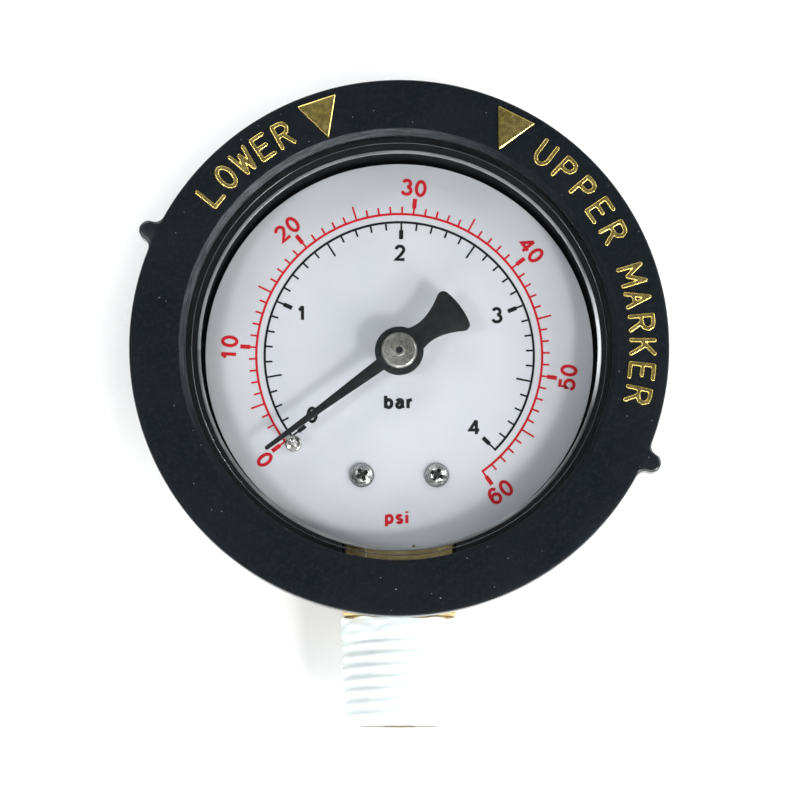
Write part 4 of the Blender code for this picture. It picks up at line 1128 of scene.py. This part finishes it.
def make_pointer():
    turn_to_rest = Matrix.Rotation(math.radians(POINTER_ANGLE), 2)
    outline = [tuple(turn_to_rest @ Vector(point)) for point in pointer_outline()]
    thickness = POINTER_FRONT - POINTER_BACK
    mesh = raised_mesh("pointer", outline, POINTER_BACK, thickness, 0.07 * MM, sharp=25)
    hole = drill([((0, 0), 1.4 * MM)], POINTER_BACK - MM, POINTER_FRONT + MM, SMALL_ROUND_STEPS)
    mesh = cut_away(mesh, hole, sharp=25)
    add_piece("pointer_blade", mesh, "pointer_enamel", "pointer_set", "pointer")


def make_hub():
    """The bush with its bevelled cap, and the small lip round the arbor's end."""
    neck_back = POINTER_BACK - PLAY
    neck_front = POINTER_FRONT + 0.12 * MM
    cap_face = HUB_FRONT - 0.10 * MM
    arbor_low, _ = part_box("pinion_arbor")
    lip_back = 0.015 * MM - arbor_low.y
    bore = 0.53 * MM
    corners = [
        (0.40 * MM, lip_back, 0),
        (0.42 * MM, HUB_FRONT, 0.01 * MM),
        (0.60 * MM, HUB_FRONT, 0.03 * MM),
        (0.70 * MM, cap_face, 0.04 * MM),
        (HUB_RADIUS - 0.26 * MM, cap_face, 0.08 * MM),
        (HUB_RADIUS, cap_face - 0.20 * MM, 0.08 * MM),
        (HUB_RADIUS, neck_front, 0.04 * MM),
        (1.1 * MM, neck_front, 0.05 * MM),
        (1.1 * MM, neck_back, 0.05 * MM),
        (1.9 * MM, neck_back, 0.1 * MM),
        (1.9 * MM, HUB_BACK, 0.1 * MM),
        (bore, HUB_BACK, 0.1 * MM),
        (bore, lip_back, 0),
    ]
    mesh = turned_mesh("hub", corners, closed=True, steps=96, sharp=20)
    add_piece("hub_bush", mesh, "nickel", "pointer_set", "pointer_hub")


def make_stop_pin():
    centre = centre_of("stop_pin")
    _, back, front = extent("stop_pin")
    flange_back = DIAL_FRONT + 0.02 * MM
    corners = [
        (0.05 * MM, front, 0),
        (0.36 * MM, front, 0.18 * MM),
        (0.36 * MM, flange_back + 0.5 * MM, 0.12 * MM),
        (0.98 * MM, flange_back + 0.42 * MM, 0.2 * MM),
        (0.98 * MM, flange_back, 0.05 * MM),
        (0.34 * MM, flange_back, 0.05 * MM),
        (0.34 * MM, back, 0.05 * MM),
        (0.05 * MM, back, 0),
    ]
    mesh = turned_mesh("stop_pin", corners, closed=False, centre=centre)
    add_piece("stop_pin_turned", mesh, "pin_metal", "housing", "stop_pin")


def slot_cutter(centre, front, width, length, depth, degrees):
    """A tapered bar that cuts one half of a cross recess."""
    turned = Matrix.Rotation(math.radians(degrees), 2)
    loops = []
    for shrink, level in ((0.45, front - depth), (1.0, front + 0.05 * MM)):
        x, y = length / 2 * shrink, width / 2 * (0.6 + 0.4 * shrink)
        corners = [turned @ Vector(point) for point in ((-x, -y), (x, -y), (x, y), (-x, y))]
        loops.append([(p.x + centre[0], p.y + centre[1], level) for p in corners])
    return loft_mesh("slot", loops, False)


def screw_mesh(centre, radius, back, front, shank_back, degrees):
    """A pan head with a cross recess, facing the viewer."""
    height = front - back
    corners = [
        (0.05 * MM, front, 0),
        (radius * 0.45, front - 0.04 * height, radius * 0.2),
        (radius * 0.88, front - 0.38 * height, radius * 0.2),
        (radius, back + 0.25 * height, radius * 0.1),
        (radius, back, 0.06 * MM),
        (SHANK_RADIUS, back, 0.05 * MM),
        (SHANK_RADIUS, shank_back, 0.1 * MM),
        (0.05 * MM, shank_back, 0),
    ]
    mesh = turned_mesh("screw", corners, closed=False, centre=centre)
    for turned in (degrees, degrees + 90):
        cutter = slot_cutter(centre, front, radius * 0.34, radius * 1.35, height * 0.55, turned)
        mesh = cut_away(mesh, cutter)
    return mesh


def make_screws():
    for side, degrees in (("left", 28), ("right", 62)):
        node = f"dial_screw_{side}"
        _, shank_back, front = extent(node)
        centre, radius = centre_of(node), half_width(node)
        head_front = front - 0.2 * MM
        mesh = screw_mesh(centre, radius, DIAL_FRONT + 0.03 * MM, head_front, shank_back, degrees)
        finish = f"screw_metal_{side}"
        MATERIALS[finish] = screw_metal(finish, centre, head_front, radius)
        add_piece(f"dial_screw_{side}_head", mesh, finish, "housing", node)
    for side, degrees in (("left", 10), ("right", 75)):
        node = f"case_screw_{side}"
        _, head_back, shank_front = extent(node)
        x, y = centre_of(node)
        mesh = screw_mesh((-x, y), half_width(node), -1.2 * MM, -head_back, -shank_front, degrees)
        mesh.transform(Matrix.Rotation(math.pi, 4, "Z"))
        add_piece(f"case_screw_{side}_head", mesh, "plated_steel", "housing", node)


# ---------------------------------------------------------------- thread tape and pressure tube


def tape_radius(z, degrees):
    """Outer radius of the wrapped tape: ridges of the thread below, a bunched band at the top."""
    top = TAPE_HIGH.z
    depth = top - z
    past_chamfer = max(0.0, STEM_END + STEM_CHAMFER - z)
    body = STEM_TOP_RADIUS - (STEM_TOP - z) * THREAD_TAPER - past_chamfer + 0.07 * MM
    phase = z / THREAD_PITCH - degrees / 360
    ridge = (0.5 + 0.5 * math.cos(math.tau * phase)) ** 1.1
    below_band = min(1.0, max(0.0, (depth - 1.3 * MM) / (1.2 * MM)))
    above_end = max(0.0, 1 - past_chamfer / (0.9 * MM))
    radius = body + RIDGE_HEIGHT * ridge * below_band * above_end
    band = 1 - below_band
    around = math.radians(degrees)
    spot = Vector((math.cos(around) * 2.2, math.sin(around) * 2.2, z / MM * 0.9))
    radius += band * (0.24 * MM + 0.14 * MM * noise.noise(spot * 1.3))
    fold = z - (top - 2.1 * MM + 1.3 * MM * (degrees + 90) / 120)
    if abs(degrees + 90) < 75:
        radius += 0.16 * MM / (1 + math.exp(-fold / (0.05 * MM)))
    fine = Vector((math.cos(around) * 6, math.sin(around) * 6, z / MM * 2.4))
    return radius + 0.035 * MM * noise.noise(fine)


def make_tape():
    around = 200
    rows = 150
    top = TAPE_HIGH.z
    bottom = STEM_END - 0.03 * MM
    loops = [[] for _ in range(2 * rows)]
    for i in range(around):
        degrees = -180 + 360 * i / around
        angle = math.radians(degrees)
        direction = Vector((math.cos(angle), math.sin(angle), 0))
        axis = Vector((0, STEM_AXIS_Y, 0))
        ragged = 0.3 * MM * noise.noise(Vector((direction.x * 2.5, direction.y * 2.5, 4.0)))
        start = top + 0.05 * MM + ragged
        for row in range(rows):
            z = start + (bottom - start) * row / (rows - 1)
            outer = tape_radius(z, degrees)
            loops[row].append(axis + direction * outer + Vector((0, 0, z)))
            inner = outer - TAPE_THICKNESS
            loops[2 * rows - 1 - row].append(axis + direction * inner + Vector((0, 0, z)))
    mesh = loft_mesh("tape", loops, True, front_frame=False, sharp=70)
    add_piece("tape_wrap", mesh, "ptfe_tape", "housing", "thread_tape")


def make_pressure_tube():
    """The curved flattened tube, fixed in the socket."""
    low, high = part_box("bourdon_tube")
    radius = high.x - TUBE_HALF_DEPTH
    height = -(low.y + high.y) / 2
    loops = []
    steps = 110
    for wall, backwards in ((0, False), (TUBE_WALL, True)):
        half_radial, half_axial = TUBE_HALF_DEPTH - wall, (high.y - low.y) / 2 - wall
        straight = half_axial - half_radial
        section = arc((radius, height + straight), half_radial, 0, 180, 9)
        section += arc((radius, height - straight), half_radial, 180, 360, 9)
        sweep = []
        for i in range(steps + 1):
            angle = math.radians(TUBE_START_ANGLE + TUBE_SWEEP * i / steps)
            sweep.append([(r * math.cos(angle), r * math.sin(angle), h) for r, h in section])
        loops += reversed(sweep) if backwards else sweep
    mesh = loft_mesh("pressure_tube", loops, True)
    tube = add_piece("pressure_tube", mesh, "spring_bronze", None)
    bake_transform(tube)
    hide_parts("bourdon_tube")


def paint_frame():
    """Procedural finishes for the CAD nodes that stay."""
    slots = {row["node"]: row["material_slot"] for row in frame["record"]["subparts"]}
    for node, obj in frame["nodes"].items():
        finish = "blued_steel" if node == "pinion_arbor" else slots[node]
        obj.data.materials.clear()
        obj.data.materials.append(MATERIALS[finish])


# ---------------------------------------------------------------- stage, light and camera


def table_white():
    """White table, clear from behind so that the gauge's back can be seen; it glows less near the
    gauge, which paints a shade round it.
    """
    s = Surface("table_white")
    base = s.clouded(0.004, 3, (0.90, 0.905, 0.905), (0.94, 0.94, 0.94), 0.3, 0.7)
    # Painted shade: the table's glowing fades where the gauge hides it.
    shade_occlusion = s.add("AmbientOcclusion", output="AO", Distance=0.05)
    s.set(Base_Color=base, Roughness=0.6, Specular_IOR_Level=0.2,
          Emission_Color=(1.0, 1.0, 1.0),
          Emission_Strength=s.ramp(shade_occlusion, 0.69, 0.86, 0.0, 0.65))
    facing = s.add("NewGeometry", output="Backfacing")
    s.blend_output(facing, s.shader.outputs[0], s.add("BsdfTransparent"))
    return s.material


def stage_plane(name, size, place, rotation, material):
    bm = bmesh.new()
    bmesh.ops.create_grid(bm, x_segments=1, y_segments=1, size=size / 2)
    mesh = bpy.data.meshes.new(name)
    bm.to_mesh(mesh)
    bm.free()
    obj = bpy.data.objects.new(name, mesh)
    obj.location = place
    obj.rotation_euler = rotation
    mesh.materials.append(material)
    bpy.context.scene.collection.objects.link(obj)
    return obj


def make_stage():
    table = stage_plane("table", 4.0, (0, 0.0008, 0), (math.pi / 2, 0, 0), table_white())
    table.visible_shadow = False
    s = Surface("floor_pale")
    base = s.clouded(0.004, 3, (0.80, 0.80, 0.79), (0.86, 0.86, 0.85), 0.3, 0.7)
    floor = s.set(Base_Color=base, Roughness=0.7)
    stage_plane("floor", 4.0, (0, 0, -0.60), (0, 0, 0), floor)


def area_light(name, direction, distance, size, power, colour=(1, 1, 1)):
    data = bpy.data.lights.new(name, "AREA")
    data.shape = "DISK"
    data.size = size
    data.energy = power
    data.color = colour
    obj = bpy.data.objects.new(name, data)
    target = Vector((0, -0.02, 0))
    towards = Vector(direction).normalized()
    obj.location = target + towards * distance
    obj.rotation_euler = towards.to_track_quat("Z", "Y").to_euler()
    bpy.context.scene.collection.objects.link(obj)


def make_lights():
    area_light("key", (0.50, -1.0, -0.46), 0.60, 0.10, 1.18, (1.0, 0.985, 0.965))
    area_light("low", (1.0, -1.0, -0.92), 0.60, 0.24, 2.00, (1.0, 0.995, 0.985))
    area_light("side", (1.22, -1.0, 0.42), 0.60, 0.28, 1.38, (1.0, 0.995, 0.985))
    area_light("under", (-0.10, -1.0, -1.28), 0.60, 0.28, 1.02, (1.0, 0.995, 0.985))
    area_light("left", (-0.46, -1.0, -0.13), 0.60, 0.14, 0.84, (0.95, 0.98, 1.0))
    area_light("top", (-0.40, -0.80, 0.75), 0.60, 0.35, 0.85, (0.97, 0.985, 1.0))
    area_light("rear", (0.5, 1.0, 0.6), 0.80, 0.40, 2.8)
    world = bpy.data.worlds.new("studio")
    bpy.context.scene.world = world
    world.use_nodes = True
    nodes, links = world.node_tree.nodes, world.node_tree.links
    background = nodes["Background"]
    direction = nodes.new("ShaderNodeTexCoord")
    parts = nodes.new("ShaderNodeSeparateXYZ")
    links.new(direction.outputs["Generated"], parts.inputs[0])
    spread = nodes.new("ShaderNodeMapRange")
    links.new(parts.outputs[1], spread.inputs["Value"])
    strengths = {"From Min": -0.90, "From Max": -0.25, "To Min": 0.05, "To Max": 0.80}
    for name, value in strengths.items():
        spread.inputs[name].default_value = value
    links.new(spread.outputs[0], background.inputs["Strength"])
    background.inputs["Color"].default_value = (0.97, 0.985, 1.0, 1)


def make_camera():
    """The gauge's front seen from a little below its axis, with a long lens."""
    distance = 0.48
    elevation = math.radians(-6.4)
    view_width = 0.09376
    data = bpy.data.cameras.new("camera")
    data.sensor_width = 36
    data.lens = data.sensor_width * distance / view_width
    data.clip_start = 0.01
    camera = bpy.data.objects.new("camera", data)
    target = Vector((0.00009, -RING_FACE, -0.00641))
    away = Vector((0, -math.cos(elevation), math.sin(elevation)))
    camera.location = target + away * distance
    camera.rotation_euler = away.to_track_quat("Z", "Y").to_euler()
    bpy.context.scene.collection.objects.link(camera)
    bpy.context.scene.camera = camera
    bpy.context.scene.view_settings.view_transform = "Standard"


# ---------------------------------------------------------------- the whole scene


# A finish that has the name of a CAD slot also goes on the CAD nodes of that slot
MATERIALS = {
    "ring_plastic": ring_plastic(),
    "case_plastic": case_plastic(),
    "gold_foil": gold_foil(),
    "dial_enamel": dial_enamel(),
    "red_ink": ink("red_ink", (0.55, 0.010, 0.020), (0.65, 0.020, 0.034)),
    "black_ink": ink("black_ink", (0.008, 0.008, 0.009), (0.018, 0.018, 0.02)),
    "pointer_enamel": pointer_enamel(),
    "nickel": spun_metal("nickel", (0.50, 0.48, 0.45), (0.63, 0.61, 0.57), 0.30),
    "pin_metal": spun_metal("pin_metal", (0.46, 0.45, 0.42), (0.70, 0.68, 0.64), 0.24,
                            centre_of("stop_pin"), marks=3.0, relief=0.10),
    "plated_steel": spun_metal("plated_steel", (0.40, 0.40, 0.40), (0.56, 0.56, 0.55), 0.30),
    "blued_steel": spun_metal("blued_steel", (0.04, 0.04, 0.045), (0.08, 0.08, 0.085), 0.35),
    "socket_brass": milled_brass(),
    "movement_brass": brushed_metal("movement_brass", (0.56, 0.41, 0.17), (0.68, 0.52, 0.25), 0.33),
    "spring_bronze": brushed_metal("spring_bronze", (0.52, 0.31, 0.15), (0.63, 0.40, 0.20), 0.34),
    "ptfe_tape": tape_white(),
    "window_plastic": clear_window("clear_window", 0.45, 0.65),
    "clear_spigot": clear_window("clear_spigot", 0.0, 0.01),
    # Painted highlights: pale lines on the window's edges, the first with a painted glint.
    "window_edge": window_edge("window_edge", (0.17, 0.175, 0.18), (0.38, 0.385, 0.39), painted_glow=1.0),
    "step_highlight": window_edge("step_highlight", (0.014, 0.015, 0.016), (0.05, 0.052, 0.054)),
}

paint_frame()
make_ring()
make_window()
make_case()
make_dial()
make_pointer()
make_hub()
make_stop_pin()
make_screws()
make_tape()
make_pressure_tube()
make_stage()
make_lights()
make_camera()
